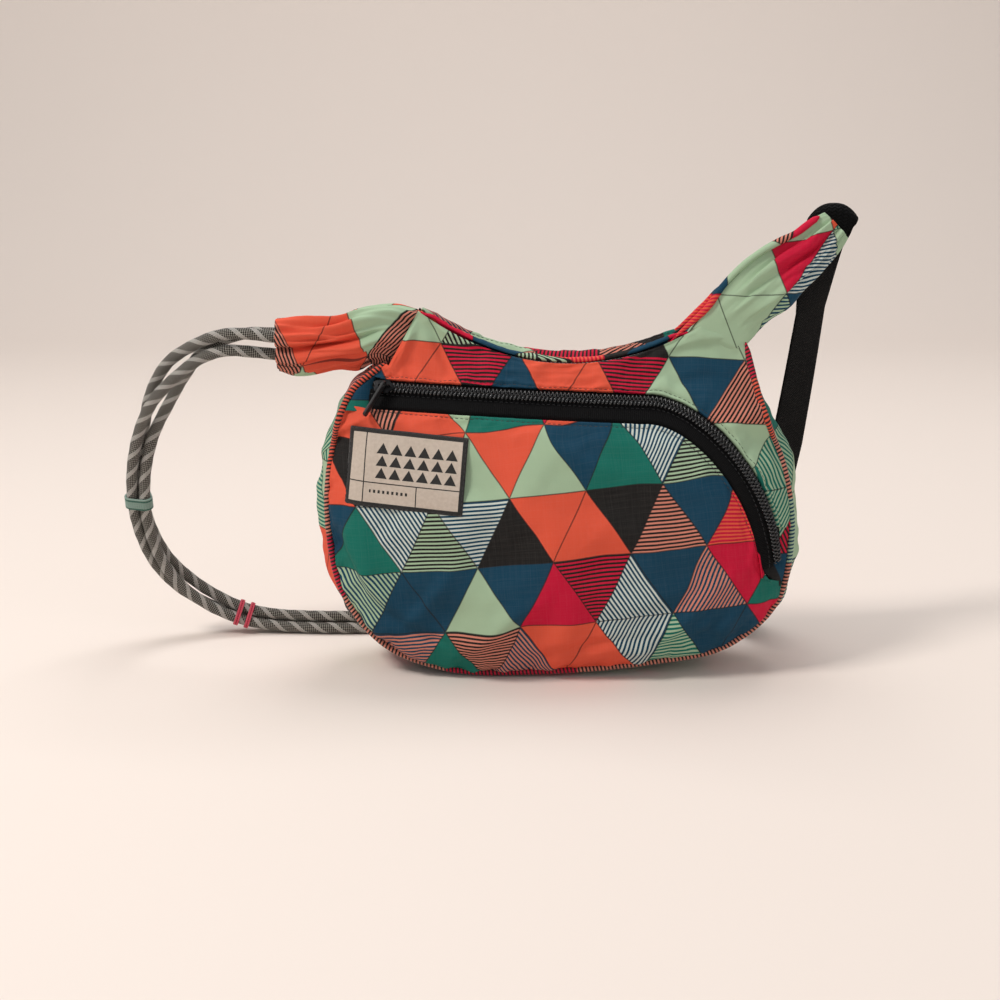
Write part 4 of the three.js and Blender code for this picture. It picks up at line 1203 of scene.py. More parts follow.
@dataclass(frozen=True)
class StripedCord:
    """Cloth rolled over cord, with fine slanted stripes."""

    name: str = "striped_binding"

    def material(self) -> bpy.types.Material:
        """Builds the stripes from places round and along the cord.

        Returns:
            The material.
        """
        n = Nodes(self.name)
        around, along, _ = n.place("sheath_place")
        steps = n.sum("ADD", around, n.sum("DIVIDE", along, 2.5))
        band = n.sum("GREATER_THAN", n.sum("FRACT", steps), 0.5)
        stretch = n.sum("FLOOR", n.sum("DIVIDE", along, 44.0))
        pick = n.random(n.vector(stretch, 3.5, 8.5))
        first = n.chosen(pick, (Ink.SALMON, Ink.CORAL, Ink.MINT, Ink.SALMON, Ink.CRIMSON))
        second = n.chosen(pick, (Ink.CHARCOAL, Ink.CHARCOAL, Ink.PETROL, Ink.CHARCOAL, Ink.CHARCOAL))
        colour = n.mix(band, first, second)
        fibre = n.noise(700.0, 2.0)
        colour = n.tinted(colour, fibre, 0.2, 0x1A1A1A)
        n.bump(n.wave(along, 0.8), 0.2, 0.0002)
        n.bump(fibre, 0.3, 0.0003)
        return n.finish(colour, n.sum("MULTIPLY_ADD", fibre, 0.15, 0.62), sheen=0.15, specular=0.35)


@dataclass(frozen=True)
class Gloss:
    """Nylon, moulded plastic or coated metal in near black."""

    name: str
    colour: int
    rough: float
    metal: float = 0.0
    grain: float = 900.0
    specular: float = 0.5

    def material(self) -> bpy.types.Material:
        """Builds the finish with a fine grain and some wear.

        Returns:
            The material.
        """
        n = Nodes(self.name)
        grain = n.noise(self.grain, 3.0)
        worn = n.noise(90.0, 5.0)
        n.bump(grain, 0.12, 0.0001)
        spots = n.sum("GREATER_THAN", worn, 0.66)
        colour = n.tinted(linear(self.colour), spots, 0.25, 0x4A4A4C)
        rough = n.sum("MULTIPLY_ADD", worn, 0.22, self.rough - 0.11)
        return n.finish(colour, rough, metal=self.metal, specular=self.specular)


@dataclass(frozen=True)
class BraidedSheath:
    """A rope's sheath: black yarns one way and grey ones the other, with pale bands between."""

    name: str = "braided_sheath"
    carriers: int = 20
    repeat: int = 10
    pale: int = 3
    lay: float = 1.45

    def material(self) -> bpy.types.Material:
        """Builds the braid's colours, with painted shade between its picks, from places round and along the
        rope.

        Returns:
            The material.
        """
        n = Nodes(self.name)
        around, along, _ = n.place("sheath_place")
        round_ = n.sum("MULTIPLY", around, float(self.carriers))
        step = n.sum("DIVIDE", along, self.lay)
        a, b = n.sum("ADD", round_, step), n.sum("SUBTRACT", round_, step)
        ia, ib = n.sum("FLOOR", a), n.sum("FLOOR", b)
        over = n.sum("FLOORED_MODULO", n.sum("ADD", ia, ib), 2.0)
        black = n.sum("GREATER_THAN", n.sum("FLOORED_MODULO", ia, float(self.repeat)), self.pale - 0.5)
        yarn = n.noise(1300.0, 2.0)
        grey = n.mix(yarn, linear(0x5E5A53), linear(0xCFC9BE))
        pale = n.mix(yarn, linear(0x8E8B85), linear(0xEFEAE2))
        dark = n.mix(yarn, linear(0x0A0A0B), linear(0x26241F))
        first = n.mix(black, pale, dark)
        second = n.mix(black, pale, grey)
        colour = n.mix(over, second, first)
        # Each pick is a small pillow, with painted shade in the gaps round it.
        pillow_a = n.sum("ABSOLUTE", n.sum("SINE", n.sum("MULTIPLY", a, math.pi)))
        pillow_b = n.sum("ABSOLUTE", n.sum("SINE", n.sum("MULTIPLY", b, math.pi)))
        pillow = n.sum("POWER", n.sum("MULTIPLY", pillow_a, pillow_b), 0.5)
        # Painted shade: the colour is darkened towards near black where the pillows dip.
        colour = n.mix(n.sum("MULTIPLY_ADD", pillow, -0.55, 0.55), colour, linear(0x0A0908))
        n.bump(pillow, 0.9, 0.0005)
        n.bump(yarn, 0.4, 0.0003)
        return n.finish(colour, n.sum("MULTIPLY_ADD", yarn, 0.15, 0.7), sheen=0.08, specular=0.2)


@dataclass(frozen=True)
class TwistedThread:
    """Thread of two shades laid round each other."""

    name: str
    colours: tuple[int, int]

    def material(self) -> bpy.types.Material:
        """Builds the twist from places round and along the thread.

        Returns:
            The material.
        """
        n = Nodes(self.name)
        around, along, turn = n.place("sheath_place")
        steps = n.sum("MULTIPLY_ADD", around, 2.0, n.sum("DIVIDE", along, 1.6))
        wave = n.sum("MULTIPLY_ADD", n.wave(steps, 1.0), 0.5, 0.5)
        fibre = n.noise(1300.0, 2.0)
        pale = n.random(n.vector(n.sum("FLOOR", n.sum("ADD", turn, 0.01)), 2.5, 6.5))
        colour = n.mix(n.sum("GREATER_THAN", pale, 0.62), linear(self.colours[0]), linear(self.colours[1]))
        colour = n.tinted(colour, wave, 0.35, self.colours[1])
        colour = n.tinted(colour, fibre, 0.3, 0x101010)
        n.bump(wave, 0.6, 0.0004)
        n.bump(fibre, 0.4, 0.0003)
        return n.finish(colour, 0.66, sheen=0.1, specular=0.3)


@dataclass(frozen=True)
class WovenLabel:
    """A woven label: a dark border and rules over cream, with a small geometric ornament."""

    name: str = "woven_label"
    width: float = 77.0
    height: float = 49.0
    border: float = 3.1
    rule: float = 0.7

    def material(self) -> bpy.types.Material:
        """Builds the label's fields from its own places in millimetres.

        Returns:
            The material.
        """
        n = Nodes(self.name)
        u, v, _ = n.place("cloth_place")
        w, h = self.width, self.height
        edge = n.sum("MINIMUM", n.from_edge(u, w), n.from_edge(v, h))
        border = n.sum("LESS_THAN", edge, self.border)
        # A rule down the left, one across, and a short one in the field below that.
        half, across = self.rule / 2, 0.68 * h
        left = n.sum("COMPARE", u, 0.15 * w, half)
        lines = n.sum("MAXIMUM", left, n.sum("COMPARE", v, across, half))
        below = n.sum("SUBTRACT", 1.0, n.sum("LESS_THAN", v, across))
        foot = n.sum("MULTIPLY", n.sum("COMPARE", u, 0.6 * w, half), below)
        lines = n.sum("MAXIMUM", lines, foot)
        # Three rows of small triangles in the large field.
        tu = n.cycle(u, 9.0)
        tv = n.sum("DIVIDE", n.sum("SUBTRACT", v, 7.5), 7.6)
        fv = n.sum("FRACT", tv)
        slope = n.sum("ABSOLUTE", n.sum("SUBTRACT", tu, 0.5))
        inside = n.sum("LESS_THAN", n.sum("MULTIPLY", slope, 2.0), n.sum("SUBTRACT", fv, 0.12))
        rows = n.sum("COMPARE", tv, 1.5, 1.5)
        field_u = n.sum("COMPARE", u, 45.0, 26.9)
        mark = n.sum("MULTIPLY", n.sum("MULTIPLY", inside, rows), field_u)
        dashes = n.sum("LESS_THAN", n.cycle(u, 3.0), 0.5)
        dots = n.sum("MULTIPLY", n.sum("COMPARE", v, 0.79 * h, 1.0), dashes)
        dots = n.sum("MULTIPLY", dots, n.sum("COMPARE", u, 0.37 * w, 0.17 * w))
        dark = n.sum("MAXIMUM", n.sum("MAXIMUM", lines, mark), n.sum("MAXIMUM", dots, border))
        fine = n.noise(500.0, 2.0)
        cream = n.mix(fine, linear(0xC3B3A3), linear(0xDDCFC1))
        ink = n.mix(fine, linear(0x17171A), linear(0x34322F))
        height = n.weave(u, v, 0.8, 0.5)
        thread = n.sum("MULTIPLY_ADD", height, 0.12, 0.1)
        colour = n.mix(thread, n.mix(dark, cream, ink), linear(0x2A2724))
        return n.finish(colour, 0.74, sheen=0.2, specular=0.3)


@dataclass(frozen=True)
class PalePaper:
    """The studio's sweep."""

    name: str = "studio_sweep"
    colour: int = 0xEADFD7

    def material(self) -> bpy.types.Material:
        """Builds a matt sheet with very faint clouding.

        Returns:
            The material.
        """
        n = Nodes(self.name)
        cloud = n.noise(2.0, 2.0)
        colour = n.tinted(linear(self.colour), cloud, 0.15, 0xE6DAD1)
        return n.finish(colour, 0.9, specular=0.1)


# The bag's pieces.

BODY = BodyForm()
SEWN_UNDER = 1.6


@dataclass(frozen=True)
class ZipSizes:
    """Sizes that both zips share, in millimetres."""

    split: float = 1.3
    row: float = 2.4
    coil: float = 2.5
    tape: float = 0.8
    rise: float = 0.3
    clearance: float = 0.35
    upper_edge: float = 4.8
    lower_edge: float = 13.5
    pitch: float = 2.6
    wire: float = 0.56

    @property
    def tape_top(self) -> float:
        """The tape's upper face, from the cloth's."""
        return -self.coil - self.clearance


ZIP = ZipSizes()


@dataclass(frozen=True)
class Dressed:
    """What a finished piece is given: its finish, its body and the solids it stands for."""

    finish: bpy.types.Material
    slot: str
    body: str = "bag"

    def wear(self, piece: bpy.types.Object, *nodes: str) -> bpy.types.Object:
        """Dresses a piece and ties it to its body.

        Args:
            piece: The piece.
            nodes: The CAD nodes that it stands for.
        Returns:
            The same piece.
        """
        piece.data.materials.clear()
        piece.data.materials.append(self.finish)
        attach(piece, self.body)
        if nodes:
            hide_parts(*nodes)
        log.info("%s: %d faces, on %s", piece.name, len(piece.data.polygons), self.body)
        return piece


def made(finish: type, *sizes: object, **settings: object) -> Any:
    """A field whose finish is built when the bag's finishes are made."""
    return field(default_factory=lambda: finish(*sizes, **settings).material())


@dataclass
class Finishes:
    """Every finish on the bag, made once."""

    print_: bpy.types.Material = made(PrintedCloth)
    sleeve_print: bpy.types.Material = made(
        PrintedCloth,
        name="printed_ripstop_sleeve",
        striped_share=0.66,
        inks=(Ink.CORAL, Ink.MINT, Ink.CORAL, Ink.CORAL, Ink.MINT),
        first_stripe=(Ink.SALMON, Ink.MINT, Ink.SALMON, Ink.SALMON),
        second_stripe=(Ink.CHARCOAL, Ink.TEAL, Ink.CHARCOAL, Ink.CHARCOAL),
    )
    tape: bpy.types.Material = made(Ribbed, "zip_tape_weave")
    webbing: bpy.types.Material = made(Ribbed, "strap_webbing", 0x050505, 2.2, 3.0, 0.8)
    lining: bpy.types.Material = made(PlainWeave, "lining_weave", 0x3A3C40, 0x55585C)
    piping: bpy.types.Material = made(StripedCord)
    coil: bpy.types.Material = made(Gloss, "nylon_coil", 0x1B1B1D, 0.26, specular=0.8)
    metal: bpy.types.Material = made(Gloss, "coated_metal", 0x1B1B1D, 0.36, 0.75)
    plastic: bpy.types.Material = made(Gloss, "moulded_plastic", 0x131315, 0.48)
    tab: bpy.types.Material = made(Gloss, "soft_tab", 0x151517, 0.55, grain=1600.0)
    rope: bpy.types.Material = made(BraidedSheath)
    green: bpy.types.Material = made(TwistedThread, "green_thread", (0x14594A, 0x8FA89C))
    red: bpy.types.Material = made(TwistedThread, "red_thread", (0xA9142F, 0xDB5568))
    label: bpy.types.Material = made(WovenLabel)
    thread: bpy.types.Material = made(PlainWeave, "sewing_thread", 0x1D1D1F, 0x3B3B3E, 0.5)
    pale_thread: bpy.types.Material = made(PlainWeave, "pale_sewing_thread", 0x9A8F88, 0xC9BEB6, 0.5)

    def topstitch(self, name: str, cloth: Cloth, edge: str, far: float, radius: float = 0.3) -> None:
        """Sews a row of dark stitches along an edge of a cloth."""
        row = stitches(name, *cloth.line_at(edge, far), radius)
        Dressed(self.thread, "zip_tape").wear(row)


@dataclass
class RopeStrap:
    """Three braided ropes from the left sleeve round to the webbing loop, and two whippings."""

    finishes: Finishes
    diameter: float = 8.0
    strands: int = 3
    sides: int = 32
    relief: float = 0.12
    thread_radius: float = 0.72
    line: tuple[tuple[float, ...], ...] = (
        (-180, -1, 220.5, 8.6, 90),
        (-192, -1, 221.5, 8.4, 90),
        (-207, 0, 222.5, 8, 96),
        (-223, 1, 221, 6.4, 112),
        (-240, 3, 214, 5.8, 134),
        (-257, 6, 200, 8.2, 162),
        (-271, 9, 181, 8.2, 188),
        (-281, 13, 159, 6, 212),
        (-288, 18, 133, 5.2, 232),
        (-290.5, 24, 107, 4.95, 248),
        (-288.5, 32, 82, 5.1, 264),
        (-281, 40, 58, 5.6, 282),
        (-267, 47, 38, 6.2, 300),
        (-248, 52, 23, 5.7, 316),
        (-227, 55, 13, 5, 328),
        (-205, 56, 8.2, 4.95, 330),
        (-183, 55.5, 6.9, 4.95, 330),
        (-160, 54.5, 6.8, 4.95, 330),
        (-137, 55.5, 6.8, 4.95, 330),
        (-117, 60.5, 6.8, 4.95, 330),
        (-104, 63.2, 6.8, 4.95, 330),
        (-94, 63.5, 6.8, 4.95, 330),
    )

    @cached_property
    def centre(self) -> Array:
        """Points of the line that the strands lie round, 24 for each stretch."""
        return smooth_line([s[:3] for s in self.line], 24)

    def frame_at(self, index: int) -> tuple[Array, Array, Array, Array]:
        """Finds how the centre line lies at one of its stations.

        Args:
            index: The station.
        Returns:
            The point there, and the directions ahead, to the side and up.
        """
        at = index * 24
        low, high = max(at - 1, 0), min(at + 1, len(self.centre) - 1)
        ahead = unit(self.centre[high] - self.centre[low])
        side = unit(DEPTHWISE - DEPTHWISE @ ahead * ahead)
        return self.centre[at], ahead, side, np.cross(side, ahead)

    def strand(self, number: int) -> Array:
        """Finds the points that a strand is drawn through.

        Args:
            number: Which strand.
        Returns:
            One point for each station.
        """
        points = []
        for index, (_, _, _, far, turn) in enumerate(self.line):
            p, _, side, up = self.frame_at(index)
            angle = math.radians(turn + 360 / self.strands * number)
            points.append(p + side * far * math.cos(angle) - up * far * math.sin(angle))
        return np.array(points)

    def rope(self, number: int, windings: Sequence[bpy.types.Object]) -> None:
        """Makes one rope with its braid in relief.

        Args:
            number: Which strand.
            windings: The thread bindings wound round the ropes; not used.
        """
        route = Line(smooth_line(self.strand(number), 24))
        count = int(route.length / 0.8)
        path = route.at(np.linspace(0, 1, count))
        sheath = BraidedSheath()
        sweep = Sweep(path, DEPTHWISE)
        theta = np.linspace(0, 1, self.sides, endpoint=False)[None, :]
        band = (theta * sheath.carriers + sweep.run[:, None] / sheath.lay) / sheath.repeat
        radius = self.diameter / 2 - self.relief + self.relief * np.cos(2 * np.pi * (band - 0.2))
        angle = 2 * np.pi * theta
        section = np.stack([radius * np.cos(angle), radius * np.sin(angle)], -1)
        piece = sweep.piece(f"braided_rope_{number + 1}", section)
        Dressed(self.finishes.rope, "braided_rope").wear(piece, f"rope_{number + 1}")
        (route.at(np.linspace(0, 1, 160)) * MM).tolist()
        list(windings)

    def whipping(
        self, colour: str, index: int, bands: Sequence[tuple[float, float]], finish: bpy.types.Material
    ) -> bpy.types.Object:
        """Winds thread round the three strands.

        Args:
            colour: The colour that the winding is named for.
            index: The station of the strands' line that it is wound at.
            bands: Where each band starts and ends along the strands.
            finish: The thread's finish.
        Returns:
            The winding.
        """
        name, thread = f"{colour}_winding", self.thread_radius
        p, ahead, side, up = self.frame_at(index)
        far, turn = self.line[index][3], self.line[index][4]
        around = np.radians(turn + 360 / self.strands * np.arange(self.strands))
        centres = np.stack([far * np.cos(around), -far * np.sin(around)], -1)
        reach = self.diameter / 2 + thread + 0.1
        normal = round_section(1.0, 360)
        hull = centres[np.argmax(normal @ centres.T, axis=1)] + reach * normal
        outline = Line(np.vstack([hull, hull[:1]]))
        wound = []
        for start, end in bands:
            turns = max(round((end - start) / (2 * thread * 0.96)), 1)
            share = np.linspace(0, turns, turns * 56)
            flat = outline.at(share % 1.0)
            rise = start + thread + (end - start - 2 * thread) * share / turns
            path = p + flat[:, :1] * side + flat[:, 1:] * up + rise[:, None] * ahead
            sweep = Sweep(path, unit(path - p - rise[:, None] * ahead))
            wound.append(sweep.piece(name, round_section(thread, 10), turns))
        piece = join_pieces(name, wound) if len(wound) > 1 else wound[0]
        return Dressed(finish, f"{colour}_thread").wear(piece, f"{colour}_whipping")

    def build(self) -> None:
        """Makes the ropes and their whippings."""
        windings = [
            self.whipping("green", 9, [(-5, 5)], self.finishes.green),
            self.whipping("red", 14, [(-6, -1.6), (1.8, 6)], self.finishes.red),
        ]
        self.rope(0, windings)
        for number in range(1, self.strands):
            self.rope(number, [])


@dataclass
class PocketZipPath:
    """The pocket zip's line on the front face."""

    body: BodyForm = BODY

    @cached_property
    def line(self) -> Line:
        """The zip's middle line in (x, z)."""
        w, h = self.body.width, self.body.height
        start, bend = np.array([-0.412 * w, 0.81 * h]), np.array([0.188 * w, 0.776 * h])
        run = (bend[1] - start[1]) / (bend[0] - start[0])
        reach = 0.11 * w
        turned, foot = np.array([0.455 * w, 0.57 * h]), np.array([0.468 * w, 0.305 * h])
        hold = [bend, bend + [reach, reach * run], turned, foot]
        t = np.linspace(0, 1, 240)[:, None]
        curve = (
            hold[0] * (1 - t) ** 3
            + hold[1] * 3 * t * (1 - t) ** 2
            + hold[2] * 3 * t**2 * (1 - t)
            + hold[3] * t**3
        )
        return Line(np.vstack([start[None], curve]))

    def beside(self, offset: Array | float, distance: Array) -> Array:
        """Points (x, z) beside the zip, at distances along it."""
        return self.line.beside(offset, np.asarray(distance) / self.line.length)

    def frames(self, distance: Array) -> tuple[Array, Array, Array]:
        """Finds places on the zip's middle line.

        Args:
            distance: Distances along it.
        Returns:
            Points on the cloth, and the directions across the zip and out of the cloth.
        """
        share = np.asarray(distance) / self.line.length
        here, ahead = self.line.at(share), self.line.ahead(share)
        turned = np.stack([-ahead[:, 1], ahead[:, 0]], -1)
        p = self.body.face(here, FRONT)
        along = unit(self.body.face(here + 0.5 * ahead, FRONT) - p)
        beside = self.body.face(here + 0.5 * turned, FRONT) - p
        up = unit(np.cross(along, beside))
        up = np.where(up[:, 1:2] > 0, -up, up)
        return p, np.cross(up, along), up


ZIP_PATH = PocketZipPath()


def between(upper: Array, lower: Array, rows: Array) -> Array:
    """Grid places between an upper and a lower line of (x, z)."""
    return upper[None] * (1 - rows[:, None, None]) + lower[None] * rows[:, None, None]


@dataclass(frozen=True)
class PrintPlace:
    """How the print is turned and shifted on a panel's cloth."""

    turn: float
    shift: tuple[float, float]


UPPER_PRINT = PrintPlace(0.06, (-6.0, 8.0))


@dataclass
class PocketFront:
    """The front pocket's panel, its lining and the woven label."""

    finishes: Finishes
    fabric: float = 1.6
    rows: int = 104
    columns: int = 250
    label_size: tuple[float, float] = (77.0, 49.0)
    label_turn: float = math.radians(-4.5)
    folds: tuple[Fold, ...] = (
        Fold(((-118, 150), (-80, 126), (-30, 118)), 3.2, 7.9),
        Fold(((-150, 118), (-120, 60), (-88, 30)), 4.6, 7.2, 0.3),
        Fold(((-128, 62), (-98, 36), (-60, 20)), -3.8, 5.0),
        Fold(((-112, 30), (-90, 52), (-66, 86)), 3.5, 5.8, -0.3),
        Fold(((-60, 16), (-40, 40), (-6, 60)), 3.2, 6.5, 0.3),
        Fold(((-30, 12), (20, 26), (70, 32)), -3.5, 5.0),
        Fold(((40, 16), (80, 40), (110, 74)), 3.8, 6.5, 0.3),
        Fold(((84, 22), (104, 40), (114, 66)), -3.2, 4.3),
        Fold(((50, 168), (84, 150), (112, 112)), 2.9, 6.5),
        Fold(((-20, 172), (10, 150), (60, 140)), 2.6, 7.2),
    )

    def panel(self) -> None:
        """Makes the pocket's panel from the zip down to the seam."""
        body = BODY
        u = close_steps(self.columns, 0.4)
        upper = ZIP_PATH.beside(-ZIP.lower_edge, 2 + u * (ZIP_PATH.line.length - 2))
        left, right = body.pocket_span
        lower = body.beside_seam(body.seam_inset - SEWN_UNDER, left + u * (right - left))
        grid = between(upper, lower, close_steps(self.rows))
        cloth = Cloth(body.face(grid, FRONT), turn=-0.09, shift=(20, 15), seed=1)
        cloth.drape(rows=46, columns=96, slack=0.03, height=3.6, seed=5)
        cloth.fold(self.folds)
        cloth.pull_print(far=3.4, pitch=24, reach=26, seed=101)
        cloth.pucker("top", height=0.8, pitch=6.0, reach=9, seed=21)
        cloth.pucker("bottom", height=2.5, pitch=10.0, reach=17, seed=22)
        cloth.groove("top", at=3.2)
        cloth.groove("bottom", at=2.4, depth=0.4)
        cloth.round_edge("top", radius=1.8)
        cloth.round_edge("bottom", radius=1.4)
        Dressed(self.finishes.print_, "teal_print").wear(
            cloth.piece("pocket_cloth", self.fabric), "pocket_panel"
        )
        self.finishes.topstitch("pocket_topstitch", cloth, "top", 3.2, 0.24)

    def lining(self) -> None:
        """Makes the slack lining behind the pocket."""
        body = BODY
        u = np.linspace(0, 1, 61)
        upper = ZIP_PATH.beside(ZIP.upper_edge, 28 + u * (ZIP_PATH.line.length - 68))
        left, right = body.pocket_span[0] + 0.03, body.pocket_span[1]
        lower = body.beside_seam(body.seam_inset + 8, left + u * (right - left))
        v = np.linspace(0, 1, 31)
        sunk = 16 * np.interp(v, [0, 0.14, 0.5, 0.88, 1], [0.38, 0.6, 1, 0.7, 0.45])
        grid = body.face(between(upper, lower, v), FRONT, np.repeat(sunk[:, None], 61, 1))
        cloth = Cloth(grid)
        wave = Ripple(4).rough(u[None] * 14, v[:, None] * 6)
        cloth.raise_by(-0.8 * np.abs(wave) * np.sin(np.pi * v)[:, None])
        Dressed(self.finishes.lining, "lining_cloth").wear(
            cloth.piece("pocket_lining_cloth", 0.6), "pocket_lining"
        )

    def label(self) -> None:
        """Makes the label, lying on the pocket's cloth as it is creased."""
        w, h = self.label_size
        corner = np.array([-0.445 * BODY.width, 0.708 * BODY.height])
        c, s = math.cos(self.label_turn), math.sin(self.label_turn)
        along, down = np.array([c, s]), np.array([s, -c])
        x, y = np.linspace(0, w, 78), np.linspace(0, h, 50)
        flat = corner + x[None, :, None] * along + y[:, None, None] * down
        places = np.stack(np.broadcast_arrays(x[None, :], y[:, None]), -1)
        cloth = Cloth(BODY.face(flat, FRONT, -1.9), places=places)
        bend = sum(f.lift(flat[..., 0], flat[..., 1]) for f in self.folds)
        wave = Ripple(9).at(x[None] / 19, y[:, None] / 16)
        cloth.raise_by(np.clip(bend, -0.5, 2.2) * 0.8 + 0.55 * wave)
        for edge in EDGES:
            cloth.round_edge(edge, radius=0.9)
            cloth.groove(edge, at=1.5, depth=0.3, width=0.6)
        Dressed(self.finishes.label, "label_cloth").wear(cloth.piece("woven_label", 0.9), "label")
        rows = [stitches("label_stitch", *cloth.line_at(edge, 1.5), 0.22) for edge in EDGES]
        Dressed(self.finishes.thread, "zip_tape").wear(join_pieces("label_stitching", rows))

    def build(self) -> None:
        """Makes the pocket's pieces."""
        self.panel()
        self.lining()
        self.label()


@dataclass
class ZipEnds:
    """The cloth that closes the front between the pocket zip's two ends and the seam."""

    finishes: Finishes
    sunk: float = 5.6

    def patch(self, name: str, seam: Array, zip_side: Array, seed: int) -> None:
        """Makes one patch from the seam to a line under the zip.

        Args:
            name: The patch's name.
            seam: Shares of the seam line along the patch.
            zip_side: Places (x, z) along its other edge.
            seed: The print's seed.
        """
        rows = np.linspace(0, 1, 16)
        outer = BODY.beside_seam(np.array(BODY.seam_inset - 0.6), seam)
        grid = between(outer, zip_side, rows)
        sunk = np.repeat((0.5 + (self.sunk - 0.5) * rows**1.5)[:, None], len(seam), 1)
        face = BODY.face(grid, FRONT, sunk)
        cloth = Cloth(face, turn=UPPER_PRINT.turn, shift=UPPER_PRINT.shift, seed=seed)
        cloth.raise_by(0.7 * Ripple(seed + 20).at(grid[..., 0] / 7, grid[..., 1] / 7) * (1 - rows[:, None]))
        Dressed(self.finishes.print_, "petrol_print").wear(cloth.piece(name, 0.8))

    def build(self) -> None:
        """Makes both patches."""
        body = BODY
        t = np.linspace(0, 1, 40)
        length = ZIP_PATH.line.length
        upper_left, foot = body.upper_span
        pocket_left, pocket_right = body.pocket_span
        near_start = ZIP_PATH.beside(6.0 - 20.5 * t, np.full(40, 3.2))
        left = upper_left + (pocket_left - upper_left) * (t * 1.3 - 0.15)
        self.patch("zip_start_patch", left, near_start, 2)
        bend = np.clip((t - 0.7) / 0.3, 0, 1)
        near_end = ZIP_PATH.beside(4.0 - 14.0 * bend, length - 34 + np.clip(t / 0.7, 0, 1) * 30)
        right = foot + (pocket_right - foot) * (t * 1.2 - 0.1)
        self.patch("zip_foot_patch", right, near_end, 2)


@dataclass
class UpperFront:
    """The front panel between the mouth and the pocket zip."""

    finishes: Finishes
    fabric: float = 1.6
    rows: int = 60
    folds: tuple[Fold, ...] = (
        Fold(((-96, 236), (-104, 214), (-116, 200)), 4.3, 5.0, -0.4),
        Fold(((-86, 236), (-78, 216), (-70, 200)), -3.2, 4.3),
        Fold(((60, 214), (84, 222), (112, 226)), 3.2, 4.3, 0.3),
        Fold(((70, 196), (98, 200), (120, 196)), -3.2, 4.3),
        Fold(((104, 168), (122, 176), (136, 184)), 2.9, 4.3),
    )

    def outline(self) -> tuple[Array, Array]:
        """Draws the panel's upper and lower edges.

        Returns:
            Both lines, point for point.
        """
        body = BODY
        start, foot = body.upper_span
        inset = body.seam_inset

        def ease(count: int) -> Array:
            """Even shares without the last one."""
            return np.linspace(0, 1, count, endpoint=False)

        def straight(a: Array, b: Array, count: int) -> Array:
            """Points on a straight edge."""
            return a + (b - a) * ease(count)[:, None]

        lip = body.mouth_left + ease(130) * (body.mouth_right - body.mouth_left)
        upper = np.vstack(
            [
                body.beside_seam(inset - SEWN_UNDER, start * (1 - ease(24))),
                straight(body.seam_end(0.0), body.lip_point(body.mouth_left), 20),
                body.lip_point(lip),
                straight(body.lip_point(body.mouth_right), body.seam_end(1.0), 20),
                body.beside_seam(inset - SEWN_UNDER, 1 + (foot - 1) * np.linspace(0, 1, 61)),
            ]
        )
        shares = np.concatenate(
            [
                0.03 * ease(24),
                0.03 + 0.03 * ease(20),
                0.06 + 0.54 * ease(130),
                0.6 + 0.1 * ease(20),
                0.7 + 0.3 * np.linspace(0, 1, 61),
            ]
        )
        last = ZIP_PATH.line.length - 30
        return upper, ZIP_PATH.beside(ZIP.upper_edge, 10 + shares * (last - 10))

    def build(self) -> None:
        """Makes the panel and its topstitching."""
        upper, lower = self.outline()
        grid = between(upper, lower, close_steps(self.rows))
        cloth = Cloth(BODY.face(grid, FRONT), turn=UPPER_PRINT.turn, shift=UPPER_PRINT.shift, seed=2)
        cloth.drape(rows=24, columns=96, slack=0.04, height=3.0, seed=6)
        cloth.fold(self.folds)
        cloth.pucker("bottom", height=1.2, pitch=6.0, reach=8, seed=31)
        cloth.pucker("top", height=0.6, pitch=8.0, reach=8, seed=32)
        cloth.groove("bottom", at=2.2)
        cloth.round_edge("bottom", radius=1.8)
        Dressed(self.finishes.print_, "crimson_print").wear(
            cloth.piece("upper_front_cloth", self.fabric), "front_upper_panel"
        )
        self.finishes.topstitch("upper_topstitch", cloth, "bottom", 2.2, 0.2)


